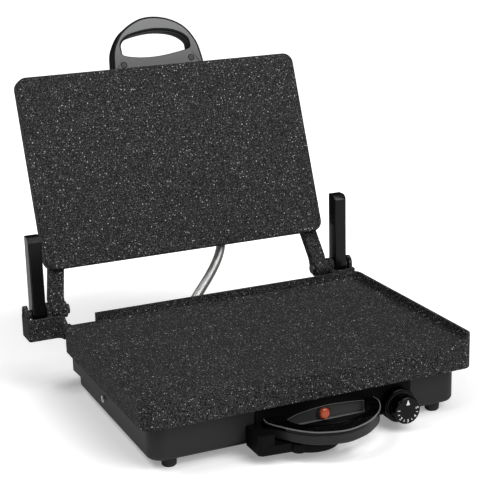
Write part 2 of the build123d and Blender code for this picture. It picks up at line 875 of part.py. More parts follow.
# Hinge pins, spacers and swing-down rests
with BuildPart() as hinge_pins:
    for side in (-1, 1):
        start = knuckle_in - 0.3
        with BuildSketch(Plane.YZ.offset(hinge_x + side * start)):
            with Locations((hinge_y, hinge_z)):
                Circle(pin_radius)
        extrude(amount=side * (ear_out - 1 - start))
        with BuildSketch(Plane.YZ.offset(hinge_x + side * start)):
            with Locations((hinge_y, hinge_z)):
                Circle(pin_head_radius)
        extrude(amount=-side * pin_head_length)

with BuildPart() as pin_spacers:
    for side in (-1, 1):
        with BuildSketch(Plane.YZ.offset(hinge_x + side * (arm_out + 0.2))):
            with Locations((hinge_y, hinge_z)):
                Circle(spacer_radius)
                Circle(pin_radius, mode=Mode.SUBTRACT)
        extrude(amount=side * spacer_length)


def rest_arm(side):
    """Swing-down rest, upright when parked and as long as the pin is high."""
    low = hinge_x + min(side * arm_in, side * arm_out)
    reach = hinge_z - arm_foot_gap
    with BuildPart() as arm:
        with BuildSketch(Plane.YZ.offset(low)):
            with Locations((hinge_y, hinge_z)):
                Circle(arm_depth / 2)
            with BuildLine():
                front = hinge_y - arm_depth / 2
                back = hinge_y + arm_depth / 2
                Polyline(
                    (front, hinge_z),
                    (front, hinge_z + reach - arm_chamfer),
                    (front + arm_chamfer, hinge_z + reach),
                    (back, hinge_z + reach),
                    (back, hinge_z),
                    close=True,
                )
            make_face()
        extrude(amount=arm_width)
        fillet(arm.edges().filter_by(Axis.Z), 1.5)
        with BuildSketch(Plane.XZ.offset(-hinge_y - arm_depth / 2)):
            with Locations((low + arm_width / 2, hinge_z + reach * 0.55)):
                RectangleRounded(arm_width - 2 * arm_recess, reach * 0.7, 2)
        extrude(amount=arm_depth * 0.6, mode=Mode.SUBTRACT)
        with BuildSketch(Plane.YZ.offset(low)):
            with Locations((hinge_y, hinge_z)):
                Circle(pin_hole)
        extrude(amount=arm_width, mode=Mode.SUBTRACT)
    return arm


left_rest = rest_arm(-1)
right_rest = rest_arm(1)

# Lid plate with its legs
with BuildPart() as upper_plate:
    with BuildSketch(lid_plane.offset(lid_back)):
        rounded(lid_width, lid_length, lid_corner, 0, lid_centre)
    extrude(amount=lid_thickness)
    face = upper_plate.faces().sort_by(Axis(lid_plane.origin, lid_plane.z_dir))[-1]
    fillet(face.edges(), 2)
    with BuildSketch(lid_plane.offset(lid_back)):
        rounded(
            lid_width - 2 * skirt_wall,
            lid_length - 2 * skirt_wall,
            lid_corner - skirt_wall,
            0,
            lid_centre,
        )
    extrude(amount=lid_thickness - lid_floor, mode=Mode.SUBTRACT)
    bend = knuckle_radius + 5
    for side in (-1, 1):
        knuckle_x = side * (knuckle_in + knuckle_out) / 2
        with BuildSketch(lid_plane.offset(1 - leg_thickness)):
            with BuildLine():
                top_x = side * leg_top_x
                Polyline(
                    (top_x - leg_width / 2, cover_low - 1),
                    (top_x + leg_width / 2, cover_low - 1),
                    (knuckle_x + knuckle_width / 2, bend),
                    (knuckle_x + knuckle_width / 2, 0),
                    (knuckle_x - knuckle_width / 2, 0),
                    (knuckle_x - knuckle_width / 2, bend),
                    close=True,
                )
            make_face()
        extrude(amount=leg_thickness)
        low = hinge_x + min(side * knuckle_in, side * knuckle_out)
        with BuildSketch(Plane.YZ.offset(low)):
            with Locations((hinge_y, hinge_z)):
                Circle(knuckle_radius)
        extrude(amount=knuckle_width)
        with BuildSketch(Plane.YZ.offset(low - 1)):
            with Locations((hinge_y, hinge_z)):
                Circle(pin_hole)
        extrude(amount=knuckle_width + 2, mode=Mode.SUBTRACT)
    cover_post_x = lid_width / 2 - 32
    cover_post_y = lid_length / 2 - 18
    with BuildSketch(lid_plane.offset(lid_back)):
        with Locations((0, lid_centre)):
            with GridLocations(2 * cover_post_x, 2 * cover_post_y, 2, 2):
                Circle(boss_radius)
    extrude(amount=lid_thickness - lid_floor)
    element_ridge(
        lid_plane.offset(lid_under).rotated((180, 0, 0)),
        element_half_x,
        lid_element_half_y,
        -lid_centre,
        1,
    )
    with BuildSketch(lid_plane.offset(lid_back)):
        with Locations((0, lid_centre)):
            with GridLocations(2 * cover_post_x, 2 * cover_post_y, 2, 2):
                Circle(screw_radius)
    extrude(amount=lid_thickness - lid_floor - 1, mode=Mode.SUBTRACT)

upper_z = lid_under - ridge_height
back_plane = lid_plane.offset(upper_z)
upper_origin = lid_plane.from_local_coords((0, lid_centre, upper_z))
upper_route = element_route(
    Plane(origin=upper_origin, x_dir=lid_plane.x_dir, z_dir=lid_plane.z_dir),
    element_half_x,
    lid_element_half_y,
    -1,
)
with BuildPart() as upper_element:
    with BuildSketch(Plane(origin=upper_route.line @ 0, z_dir=upper_route.line % 0)):
        Circle(element_radius)
    sweep(path=upper_route.line)

with BuildPart() as upper_element_clips:
    for x, y, turn in clip_places(element_half_x, lid_element_half_y):
        with BuildSketch(lid_plane.offset(upper_z - element_radius - clip_strap)):
            with Locations(Location((x, lid_centre + y, 0), (0, 0, turn))):
                Rectangle(clip_length, clip_width)
        extrude(amount=element_radius + clip_strap)
        with BuildSketch(lid_plane.offset(upper_z - element_radius)):
            with Locations(Location((x, lid_centre + y, 0), (0, 0, turn))):
                Rectangle(2 * (element_radius + groove_clearance), clip_width + 1)
        extrude(amount=element_radius, mode=Mode.SUBTRACT)

with BuildPart() as upper_reflector:
    shield_pan(
        lid_plane.offset(lid_under).rotated((180, 0, 0)),
        element_half_x,
        lid_element_half_y,
        -lid_centre,
        1,
    )

exit_face = Plane(
    origin=lid_plane.from_local_coords((sleeve_exit_x - hinge_x, cover_low, sleeve_exit_n)),
    x_dir=lid_plane.x_dir,
    z_dir=-lid_plane.y_dir,
)
cover_width = lid_width - 2 * cover_inset
cover_length = cover_high - cover_low
with BuildPart() as lid_cover:
    with BuildSketch(lid_plane.offset(cover_back)):
        rounded(cover_width, cover_length, lid_corner, 0, lid_centre)
    extrude(amount=lid_under - cover_back)
    face = lid_cover.faces().sort_by(Axis(lid_plane.origin, lid_plane.z_dir))[0]
    fillet(face.edges(), cover_fillet)
    with BuildSketch(lid_plane.offset(cover_back + cover_wall)):
        rounded(
            cover_width - 2 * cover_wall,
            cover_length - 2 * cover_wall,
            lid_corner - cover_wall,
            0,
            lid_centre,
        )
    extrude(amount=lid_under - cover_back - cover_wall, mode=Mode.SUBTRACT)
    with BuildSketch(lid_plane.offset(cover_back + 1)):
        with Locations((0, lid_centre)):
            with GridLocations(2 * cover_post_x, 2 * cover_post_y, 2, 2):
                Circle(post_radius)
    extrude(amount=lid_back - cover_back - 1)
    with BuildSketch(lid_plane.offset(cover_back - 1)):
        with Locations((0, lid_centre)):
            with GridLocations(2 * cover_post_x, 2 * cover_post_y, 2, 2):
                Circle(screw_radius + screw_clearance)
    extrude(amount=lid_back - cover_back + 2, mode=Mode.SUBTRACT)
    with BuildSketch(lid_plane.offset(cover_back - 1)):
        with Locations((0, lid_centre)):
            with GridLocations(2 * cover_post_x, 2 * cover_post_y, 2, 2):
                Circle(screw_head_radius + screw_clearance)
    extrude(amount=screw_head_height + 2, mode=Mode.SUBTRACT)
    with BuildSketch(exit_face):
        Circle(sleeve_radius + screw_clearance)
    extrude(amount=-2 * cover_wall, mode=Mode.SUBTRACT)

with BuildPart() as lid_cover_screws:
    for x in (-cover_post_x, cover_post_x):
        for y in (lid_centre - cover_post_y, lid_centre + cover_post_y):
            at = lid_plane.from_local_coords((x, y, cover_back + screw_head_height + 1))
            screw(
                Plane(origin=at, x_dir=lid_plane.x_dir, z_dir=-lid_plane.z_dir),
                lid_under - 1 - cover_back - screw_head_height - 1,
            )

# Lid handle: two halves on a folded bracket
grip_back = lid_back - 2
split_front = grip_back - grip_front_thickness
split_back = split_front - bracket_sheet


def grip_ring(plane):
    """Outline of the lid handle: a straight foot, an oval arch and an oval window."""
    with BuildSketch(plane) as ring:
        with BuildLine():
            EllipticalCenterArc((0, lid_top), grip_half_width, grip_rise, arc_size=180)
            Polyline(
                (-grip_half_width, lid_top),
                (-grip_half_width, lid_top - grip_foot),
                (grip_half_width, lid_top - grip_foot),
                (grip_half_width, lid_top),
            )
        make_face()
        with BuildLine():
            low = lid_top + grip_window_low
            EllipticalCenterArc(
                (0, low + 4),
                grip_window_half,
                grip_window_high - grip_window_low - 4,
                arc_size=180,
            )
            ThreePointArc((-grip_window_half, low + 4), (0, low), (grip_window_half, low + 4))
        make_face(mode=Mode.SUBTRACT)
    return ring


def grip_half(face_at, back_at, bored):
    """One half of the lid handle, recessed over the bracket, with its screw holes."""
    outward = 1 if face_at > back_at else -1
    middle = (split_front + split_back) / 2
    with BuildPart() as half:
        ring = grip_ring(lid_plane.offset(middle))
        extrude(ring.sketch, amount=face_at - middle)
        rim = half.faces().sort_by(Axis(lid_plane.origin, outward * lid_plane.z_dir))[-1]
        fillet(rim.edges(), handle_fillet)
        with BuildSketch(lid_plane.offset(middle)):
            span(
                -bracket_half_width - 1,
                bracket_half_width + 1,
                lid_top - grip_foot - 1,
                lid_top + bracket_rise + 0.3,
            )
        extrude(amount=back_at - middle, mode=Mode.SUBTRACT)
        with BuildSketch(lid_plane.offset(middle)):
            with Locations((0, lid_top + grip_screw_rise)):
                with GridLocations(2 * grip_screw_x, 1, 2, 1):
                    Circle(screw_radius + bored)
        extrude(amount=face_at - middle, mode=Mode.SUBTRACT)
        if bored:
            with BuildSketch(lid_plane.offset(face_at)):
                with Locations((0, lid_top + grip_screw_rise)):
                    with GridLocations(2 * grip_screw_x, 1, 2, 1):
                        Circle(screw_head_radius + screw_clearance)
            extrude(amount=-screw_head_height, mode=Mode.SUBTRACT)
    return half


lid_handle_front = grip_half(grip_back, split_front, screw_clearance)
lid_handle_back = grip_half(split_back - grip_back_thickness, split_back, 0)

with BuildPart() as lid_handle_bracket:
    with BuildSketch(lid_plane.offset(split_back)):
        span(
            -bracket_half_width, bracket_half_width, cover_high, lid_top + bracket_rise
        )
        with Locations((0, lid_top + grip_screw_rise)):
            with GridLocations(2 * grip_screw_x, 1, 2, 1):
                Circle(screw_radius + screw_clearance, mode=Mode.SUBTRACT)
    extrude(amount=bracket_sheet)
    with BuildSketch(lid_plane.offset(split_back - 8)):
        span(-bracket_half_width, bracket_half_width, cover_high, cover_high + bracket_sheet / 2)
    extrude(amount=8)

with BuildPart() as lid_handle_screws:
    for x in (-grip_screw_x, grip_screw_x):
        at = lid_plane.from_local_coords(
            (x, lid_top + grip_screw_rise, grip_back - screw_head_height)
        )
        screw(
            Plane(origin=at, x_dir=lid_plane.x_dir, z_dir=lid_plane.z_dir),
            grip_front_thickness + bracket_sheet + grip_back_thickness / 2,
        )

# Sprung lead between the two halves, with its glands
exit_low = exit_face.from_local_coords((0, 0, gland_length))
exit_in = exit_face.from_local_coords((0, 0, -2))
sleeve_points = [
    (sleeve_entry_x, sleeve_y, band_bottom + band_height - sleeve_seat + 1),
    (sleeve_entry_x, sleeve_y, 56),
    (-22, 139, 75),
    (16, 162, 105),
    tuple(exit_low),
    tuple(exit_in),
]

turns = []
for before, here, after in zip(sleeve_points, sleeve_points[1:], sleeve_points[2:]):
    arrive = Vector(*here) - Vector(*before)
    leave = Vector(*after) - Vector(*here)
    half_turn = radians(arrive.get_angle(leave)) / 2
    turns.append(0.45 * min(arrive.length, leave.length) / tan(half_turn))
print("sleeve bend radii", [round(turn, 1) for turn in turns])
with BuildLine() as sleeve_route:
    FilletPolyline(*sleeve_points, radius=turns)
sleeve_path = sleeve_route.line
steady = Vector(1, -1, 0)


def across(at):
    """Plane square to the sleeve's route, with its X axis kept steady."""
    along = sleeve_path % at
    return Plane(origin=sleeve_path @ at, x_dir=along.cross(steady), z_dir=along)


with BuildPart() as lead_sleeve:
    for rib in range(sleeve_ribs):
        for step, radius in ((0, sleeve_radius), (0.45, sleeve_radius), (0.6, 0), (0.85, 0)):
            with BuildSketch(across((rib + step) / sleeve_ribs)):
                Circle(radius or sleeve_radius - sleeve_groove)
    with BuildSketch(across(1)):
        Circle(sleeve_radius)
    loft(ruled=True)
    with BuildSketch(across(0)):
        Circle(sleeve_bore)
    sweep(path=sleeve_path, mode=Mode.SUBTRACT)

with BuildPart() as inner_lead:
    with BuildSketch(across(0)):
        Circle(sleeve_bore - 0.3)
    sweep(path=sleeve_path)

with BuildPart() as base_gland:
    with BuildSketch(Plane.XY.offset(band_bottom + band_height)):
        with Locations((sleeve_entry_x, sleeve_y)):
            Circle(gland_radius)
            Circle(sleeve_radius + screw_clearance, mode=Mode.SUBTRACT)
    extrude(amount=gland_length / 2)

with BuildPart() as lid_gland:
    with BuildSketch(exit_face):
        Circle(gland_radius)
        Circle(sleeve_radius + screw_clearance, mode=Mode.SUBTRACT)
    extrude(amount=gland_length / 2)

with BuildPart() as mains_gland:
    with BuildSketch(Plane.XZ.offset(-housing_back - band_depth)):
        with Locations((mains_x, mains_z)):
            Circle(gland_radius)
            Circle(sleeve_bore, mode=Mode.SUBTRACT)
    extrude(amount=-3)
    with BuildSketch(Plane.XZ.offset(-housing_back - band_depth)):
        with Locations((mains_x, mains_z)):
            Circle(gland_radius - 2.2)
            Circle(sleeve_bore, mode=Mode.SUBTRACT)
    extrude(amount=8)

with BuildPart() as terminal_block:
    with BuildSketch(Plane.XY.offset(flange_top)):
        with Locations((housing_width / 2 - 45, housing_back - 22)):
            Rectangle(34, 14)
    extrude(amount=12)
    with BuildSketch(Plane.XY.offset(flange_top + 12)):
        with Locations((housing_width / 2 - 45, housing_back - 22)):
            with GridLocations(11, 1, 3, 1):
                Circle(2)
    extrude(amount=-8, mode=Mode.SUBTRACT)

nodes = {
    "lower_plate": lower_plate,
    "lower_element": lower_element,
    "lower_element_clips": lower_element_clips,
    "lower_reflector": lower_reflector,
    "base_housing": base_housing,
    "bottom_cover": bottom_cover,
    "bottom_cover_screws": bottom_cover_screws,
    "feet": feet,
    "foot_screws": foot_screws,
    "plate_screws": plate_screws,
    "side_screws": side_screws,
    "base_handle_top": base_handle_top,
    "base_handle_bottom": base_handle_bottom,
    "base_handle_screws": base_handle_screws,
    "drip_tray": drip_tray,
    "thermostat": thermostat,
    "thermostat_shaft": thermostat_shaft,
    "dial_knob": dial_knob,
    "lamp_lens": lamp_lens,
    "lamp_bezel": lamp_bezel_ring,
    "lamp_holder": lamp_holder,
    "hinge_pins": hinge_pins,
    "pin_spacers": pin_spacers,
    "left_rest": left_rest,
    "right_rest": right_rest,
    "upper_plate": upper_plate,
    "upper_element": upper_element,
    "upper_element_clips": upper_element_clips,
    "upper_reflector": upper_reflector,
    "lid_cover": lid_cover,
    "lid_cover_screws": lid_cover_screws,
    "lid_handle_front": lid_handle_front,
    "lid_handle_back": lid_handle_back,
    "lid_handle_bracket": lid_handle_bracket,
    "lid_handle_screws": lid_handle_screws,
    "lead_sleeve": lead_sleeve,
    "inner_lead": inner_lead,
    "base_gland": base_gland,
    "lid_gland": lid_gland,
    "mains_gland": mains_gland,
    "terminal_block": terminal_block,
}
# Origin on the table under the middle of the opened grill
whole = Compound([node.part for node in nodes.values()]).bounding_box()
to_origin = Location((-whole.center().X, -whole.center().Y, -whole.min.Z))
print("moved to origin by", [round(c, 4) for c in to_origin.position])
for label, node in nodes.items():
    placed = node.part.moved(to_origin)
    placed.label = label
    export_step(placed, f"parts/{label}.step")
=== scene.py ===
import json
import math

import bmesh
import bpy
from mathutils import Matrix, Vector


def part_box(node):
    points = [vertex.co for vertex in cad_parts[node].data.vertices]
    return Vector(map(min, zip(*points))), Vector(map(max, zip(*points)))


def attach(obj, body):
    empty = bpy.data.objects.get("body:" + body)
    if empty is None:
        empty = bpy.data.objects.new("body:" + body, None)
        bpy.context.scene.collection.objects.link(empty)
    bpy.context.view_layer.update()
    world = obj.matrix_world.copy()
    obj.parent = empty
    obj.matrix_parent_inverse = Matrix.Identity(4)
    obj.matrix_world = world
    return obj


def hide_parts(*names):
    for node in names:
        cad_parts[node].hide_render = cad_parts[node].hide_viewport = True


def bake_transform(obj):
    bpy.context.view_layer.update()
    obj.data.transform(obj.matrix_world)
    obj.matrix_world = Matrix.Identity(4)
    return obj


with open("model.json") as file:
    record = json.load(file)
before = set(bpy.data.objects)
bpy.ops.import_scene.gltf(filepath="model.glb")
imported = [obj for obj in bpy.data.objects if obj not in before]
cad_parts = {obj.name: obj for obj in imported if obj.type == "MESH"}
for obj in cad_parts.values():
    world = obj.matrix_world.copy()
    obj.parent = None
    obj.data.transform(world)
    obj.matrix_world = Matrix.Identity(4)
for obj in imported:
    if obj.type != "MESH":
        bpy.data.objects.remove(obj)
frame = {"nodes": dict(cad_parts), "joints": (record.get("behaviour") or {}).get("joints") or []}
nodes = frame["nodes"]
joints = {joint["name"]: joint for joint in frame["joints"]}
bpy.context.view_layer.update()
hinge = Vector(joints["lid_hinge"]["pos_m"])
lidTurn = math.radians(joints["lid_hinge"]["range_deg"][1])
# Of the opened lid: straight out of its plate, and along it away from the hinge
lidNormal = Vector((0, -math.sin(lidTurn), -math.cos(lidTurn)))
lidUp = Vector((1, 0, 0)).cross(-lidNormal)
fromPart = hinge - Vector((-0.017, 0.147, 0.088))  # the hinge as the part's source places it
print("frame read")

# Shader helpers

grainDepth = 0.0002
grainDetail = 2.0


def addNode(tree, kind, **sockets):
    node = tree.nodes.new(kind)
    for label, value in sockets.items():
        node.inputs[label].default_value = value
    return node


def newMaterial(name, colour, roughness, metallic=0.0, coat=0.0, coatRoughness=0.1, specular=0.5):
    material = bpy.data.materials.new(name)
    material.use_nodes = True
    tree = material.node_tree
    surface = tree.nodes["Principled BSDF"]
    surface.inputs["Base Color"].default_value = (*colour, 1)
    surface.inputs["Roughness"].default_value = roughness
    surface.inputs["Metallic"].default_value = metallic
    surface.inputs["Coat Weight"].default_value = coat
    surface.inputs["Coat Roughness"].default_value = coatRoughness
    surface.inputs["Specular IOR Level"].default_value = specular
    material.diffuse_color = (*colour, 1)
    return material, tree, surface


def objectPlace(tree, stretch=(1, 1, 1)):
    place = tree.nodes.new("ShaderNodeTexCoord")
    mapping = tree.nodes.new("ShaderNodeMapping")
    mapping.inputs["Scale"].default_value = stretch
    tree.links.new(place.outputs["Object"], mapping.inputs["Vector"])
    return mapping.outputs["Vector"]


def addBump(tree, surface, place, scale, strength, depth):
    grain = addNode(tree, "ShaderNodeTexNoise", Scale=scale, Detail=grainDetail)
    bump = addNode(tree, "ShaderNodeBump", Strength=strength, Distance=depth)
    tree.links.new(place, grain.inputs["Vector"])
    tree.links.new(grain.outputs["Fac"], bump.inputs["Height"])
    tree.links.new(bump.outputs["Normal"], surface.inputs["Normal"])


# Serves shaders and Geometry Nodes alike
def mathNode(tree, operation, *values):
    node = tree.nodes.new("ShaderNodeMath")
    node.operation = operation
    for index, value in enumerate(values):
        if isinstance(value, (int, float)):
            node.inputs[index].default_value = value
        else:
            tree.links.new(value, node.inputs[index])
    return node.outputs[0]


# Stone-like coat: a dark ground with flecks of three sizes

coat = {
    "ground": (0.0125, 0.0125, 0.0131),
    # painted highlight: a lighter ground for the plates' bevels
    "edge": (0.075, 0.075, 0.077),
    "roughness": 0.65,
    "specular": 0.06,
    "core": 0.6,  # share of a fleck's reach that has its full shade
    "fall": 2.5,  # higher gives fewer bright flecks
    "grain": 1500,
    "strength": 0.25,
    "flecks": [
        {"cells": 1350, "reach": 0.8, "kept": 0.2, "dim": 0.01, "bright": 0.11},
        {"cells": 820, "reach": 0.36, "kept": 0.6, "dim": 0.05, "bright": 0.45},
        {"cells": 500, "reach": 0.3, "kept": 0.74, "dim": 0.2, "bright": 1.0},
    ],
}


def stoneCoat(name, ground):
    material, tree, surface = newMaterial(name, ground, coat["roughness"], specular=coat["specular"])
    place = objectPlace(tree)
    shade = None
    for fleck in coat["flecks"]:
        cells = addNode(tree, "ShaderNodeTexVoronoi", Scale=fleck["cells"])
        tree.links.new(place, cells.inputs["Vector"])
        parts = tree.nodes.new("ShaderNodeSeparateColor")
        tree.links.new(cells.outputs["Color"], parts.inputs["Color"])
        full = fleck["reach"] * coat["core"]
        core = addNode(tree, "ShaderNodeMapRange", **{
            "From Min": fleck["reach"], "From Max": full, "To Min": 0.0, "To Max": 1.0,
        })
        tree.links.new(cells.outputs["Distance"], core.inputs["Value"])
        kept = mathNode(tree, "GREATER_THAN", parts.outputs["Red"], fleck["kept"])
        cover = mathNode(tree, "MULTIPLY", core.outputs["Result"], kept)
        spread = mathNode(tree, "POWER", parts.outputs["Green"], coat["fall"])
        level = addNode(tree, "ShaderNodeMapRange", **{"To Min": fleck["dim"], "To Max": fleck["bright"]})
        tree.links.new(spread, level.inputs["Value"])
        grey = tree.nodes.new("ShaderNodeCombineColor")
        for channel in ("Red", "Green", "Blue"):
            tree.links.new(level.outputs["Result"], grey.inputs[channel])
        mix = tree.nodes.new("ShaderNodeMix")
        mix.data_type = "RGBA"
        tree.links.new(cover, mix.inputs["Factor"])
        if shade is None:
            mix.inputs["A"].default_value = (*ground, 1)
        else:
            tree.links.new(shade, mix.inputs["A"])
        tree.links.new(grey.outputs["Color"], mix.inputs["B"])
        shade = mix.outputs["Result"]
    tree.links.new(shade, surface.inputs["Base Color"])
    addBump(tree, surface, place, coat["grain"], coat["strength"], grainDepth)
    return material


# Plastics, metals, rubber and the lamp

plastics = {
    "matt": {
        "colour": (0.019, 0.019, 0.0194), "roughness": 0.5, "specular": 0.3,
        "grain": 1800, "strength": 0.12,
    },
    # painted light: a lighter copy of the matt grey, for the housing wall inside the arch, which lies in
    # shade; the lid screw heads use it too
    "panel": {
        "colour": (0.034, 0.034, 0.035), "roughness": 0.5, "specular": 0.3,
        "grain": 1800, "strength": 0.1,
    },
    "dark": {
        "colour": (0.0035, 0.0035, 0.0037), "roughness": 0.45, "specular": 0.08,
        "grain": 1500, "strength": 0.1,
    },
    "gloss": {
        "colour": (0.0012, 0.0012, 0.0013), "roughness": 0.1, "specular": 0.2,
        "grain": 300, "strength": 0.01,
    },
    # painted highlight: light grey for thin strips laid along edges that catch the light
    "edge": {
        "colour": (0.16, 0.16, 0.164), "roughness": 0.25, "specular": 0.5,
        "grain": 300, "strength": 0.01,
    },
    "arm": {
        "colour": (0.0035, 0.0035, 0.0036), "roughness": 0.2, "specular": 0.25,
        "grain": 300, "strength": 0.01,
    },
    # painted highlight: a lighter finish for the bevels of the rests and the dial
    "armEdgeHighlight": {
        "colour": (0.05, 0.05, 0.051), "roughness": 0.3, "specular": 0.5,
        "grain": 300, "strength": 0.01,
    },
}


def plastic(kind):
    look = plastics[kind]
    material, tree, surface = newMaterial(
        f"{kind}Plastic", look["colour"], look["roughness"], specular=look["specular"]
    )
    addBump(tree, surface, objectPlace(tree), look["grain"], look["strength"], grainDepth)
    return material


# The lid handle's face has painted shade: its grey darkens downwards between two heights above the table,
# standing in for the shading of its curved face
gripPaintedShade = {
    "low": (0.022, 0.0225, 0.023),
    "high": (0.14, 0.142, 0.147),
    "from": 0.335,
    "to": 0.388,
    "roughness": 0.34,
    "specular": 0.4,
    "grain": 900,
    "strength": 0.04,
}


def gripFace():
    look = gripPaintedShade
    material, tree, surface = newMaterial(
        "gripFace", look["high"], look["roughness"], specular=look["specular"]
    )
    place = objectPlace(tree)
    parts = tree.nodes.new("ShaderNodeSeparateXYZ")
    height = addNode(tree, "ShaderNodeMapRange", **{"From Min": look["from"], "From Max": look["to"]})
    # painted shade: dark low on the face, the face's own grey high up
    shade = addNode(tree, "ShaderNodeValToRGB")
    shade.color_ramp.elements[0].color = (*look["low"], 1)
    shade.color_ramp.elements[1].color = (*look["high"], 1)
    tree.links.new(place, parts.inputs["Vector"])
    tree.links.new(parts.outputs["Z"], height.inputs["Value"])
    tree.links.new(height.outputs["Result"], shade.inputs["Fac"])
    tree.links.new(shade.outputs["Color"], surface.inputs["Base Color"])
    addBump(tree, surface, place, look["grain"], look["strength"], grainDepth)
    return material


metals = {
    "brightSteel": {"colour": (0.62, 0.62, 0.63), "roughness": 0.24, "grain": (40, 1600, 40)},
    "zincSteel": {"colour": (0.72, 0.71, 0.68), "roughness": 0.3, "grain": (900, 900, 900)},
    "heatedSteel": {"colour": (0.3, 0.25, 0.21), "roughness": 0.42, "grain": (300, 300, 300)},
    "mirrorSheet": {"colour": (0.8, 0.8, 0.81), "roughness": 0.18, "grain": (30, 1200, 30)},
    "sleeveSteel": {"colour": (0.62, 0.62, 0.61), "roughness": 0.42, "grain": (500, 500, 500)},
}
metalGrain = {"strength": 0.06, "depth": 0.0001}


def metal(kind):
    look = metals[kind]
    material, tree, surface = newMaterial(kind, look["colour"], look["roughness"], metallic=1.0)
    addBump(tree, surface, objectPlace(tree, look["grain"]), 1, metalGrain["strength"], metalGrain["depth"])
    return material


plains = {
    "paintedSheet": {
        "colour": (0.012, 0.012, 0.012), "roughness": 0.5, "grain": 700, "strength": 0.15, "depth": 0.0002,
    },
    "footRubber": {
        "colour": (0.012, 0.012, 0.012), "roughness": 0.75, "grain": 900, "strength": 0.2, "depth": 0.0003,
    },
    "ceramicBody": {
        "colour": (0.72, 0.69, 0.6), "roughness": 0.55, "grain": 500, "strength": 0.1, "depth": 0.0002,
    },
}


def plain(kind):
    look = plains[kind]
    material, tree, surface = newMaterial(kind, look["colour"], look["roughness"])
    addBump(tree, surface, objectPlace(tree), look["grain"], look["strength"], look["depth"])
    return material


lamp = {
    "colour": (0.72, 0.095, 0.018),
    "middle": (0.78, 0.13, 0.03),  # of each prism
    "rim": (0.5, 0.045, 0.008),
    "roughness": 0.32,
    "coat": 0.7,
    "coatRoughness": 0.1,
    "prism": 620,
    "uneven": 0.15,
    "stretch": (1, 0.05, 1),
    "strength": 0.5,
    "depth": 0.0005,
}


def lampPlastic():
    material, tree, surface = newMaterial(
        "lampPlastic", lamp["colour"], lamp["roughness"],
        coat=lamp["coat"], coatRoughness=lamp["coatRoughness"],
    )
    place = objectPlace(tree, lamp["stretch"])
    prism = addNode(tree, "ShaderNodeTexVoronoi", Scale=lamp["prism"], Randomness=lamp["uneven"])
    bump = addNode(tree, "ShaderNodeBump", Strength=lamp["strength"], Distance=lamp["depth"])
    shade = addNode(tree, "ShaderNodeValToRGB")
    shade.color_ramp.elements[0].color = (*lamp["middle"], 1)
    shade.color_ramp.elements[1].color = (*lamp["rim"], 1)
    tree.links.new(place, prism.inputs["Vector"])
    tree.links.new(prism.outputs["Distance"], bump.inputs["Height"])
    tree.links.new(prism.outputs["Distance"], shade.inputs["Fac"])
    tree.links.new(shade.outputs["Color"], surface.inputs["Base Color"])
    tree.links.new(bump.outputs["Normal"], surface.inputs["Normal"])
    return material


printWhite = {"colour": (0.86, 0.86, 0.86), "roughness": 0.5}

finishes = {
    "stone": stoneCoat("stoneCoat", coat["ground"]),
    "stoneEdgeHighlight": stoneCoat("stoneEdgeHighlight", coat["edge"]),
    **{kind: plastic(kind) for kind in plastics},
    "grip": gripFace(),
    "bright": metal("brightSteel"),
    "zinc": metal("zincSteel"),
    "heated": metal("heatedSteel"),
    "mirror": metal("mirrorSheet"),
    "sleeve": metal("sleeveSteel"),
    "sheet": plain("paintedSheet"),
    "rubber": plain("footRubber"),
    "ceramic": plain("ceramicBody"),
    "lamp": lampPlastic(),
    "print": newMaterial("whitePrint", printWhite["colour"], printWhite["roughness"])[0],
}
print("materials made")

# Finish of each node of the frame

dress = {
    "stone": ["lower_plate", "upper_plate"],
    "matt": [
        "base_housing", "lamp_holder", "lid_cover", "base_gland", "lid_gland", "mains_gland",
        "base_handle_bottom", "lid_handle_back", "lamp_bezel",
    ],
    "gloss": ["base_handle_top", "lid_handle_front", "dial_knob"],
    "arm": ["left_rest", "right_rest"],
    "dark": ["drip_tray"],
    "bright": ["thermostat_shaft", "lower_element_clips", "upper_element_clips"],
    "zinc": [
        "bottom_cover_screws", "foot_screws", "plate_screws", "side_screws", "base_handle_screws",
        "lid_cover_screws",
    ],
    "heated": ["lower_element", "upper_element"],
    "mirror": ["lower_reflector", "upper_reflector"],
    "sheet": ["bottom_cover", "lid_handle_bracket", "lid_handle_screws", "hinge_pins", "pin_spacers"],
    "rubber": ["feet", "inner_lead"],
    "ceramic": ["thermostat", "terminal_block"],
    "lamp": ["lamp_lens"],
    "sleeve": ["lead_sleeve"],
}
for finish, names in dress.items():
    for name in names:
        mesh = nodes[name].data
        mesh.materials.clear()
        mesh.materials.append(finishes[finish])
print("nodes dressed")

# Soft edges: moulded and cast pieces have no knife edges, and some edges catch the light, painted as a
# highlight by a lighter finish on their bevels

edges = {
    "widths": {
        "lower_plate": 0.0007,
        "upper_plate": 0.0007,
        "base_housing": 0.0005,
        "lid_cover": 0.0005,
        "left_rest": 0.0005,
        "right_rest": 0.0005,
        "drip_tray": 0.0004,
        "dial_knob": 0.0004,
    },
    # bevel finishes that paint a highlight along the edges
    "lit": {
        "stoneEdgeHighlight": ["lower_plate", "upper_plate"],
        "armEdgeHighlight": ["left_rest", "right_rest", "dial_knob"],
    },
    "weld": 0.00001,
    "from": math.radians(40),
}


def softenEdges(piece, width, segments=2):
    weld = piece.modifiers.new("weld", "WELD")
    weld.merge_threshold = edges["weld"]
    bevel = piece.modifiers.new("edges", "BEVEL")
    bevel.width = width
    bevel.segments = segments
    bevel.limit_method = "ANGLE"
    bevel.angle_limit = edges["from"]
    bevel.use_clamp_overlap = True
    bevel.harden_normals = True


for name, width in edges["widths"].items():
    softenEdges(nodes[name], width)
for finish, names in edges["lit"].items():
    for name in names:
        nodes[name].data.materials.append(finishes[finish])
        nodes[name].modifiers["edges"].material = 1
print("edges softened")

# Geometry Nodes helpers


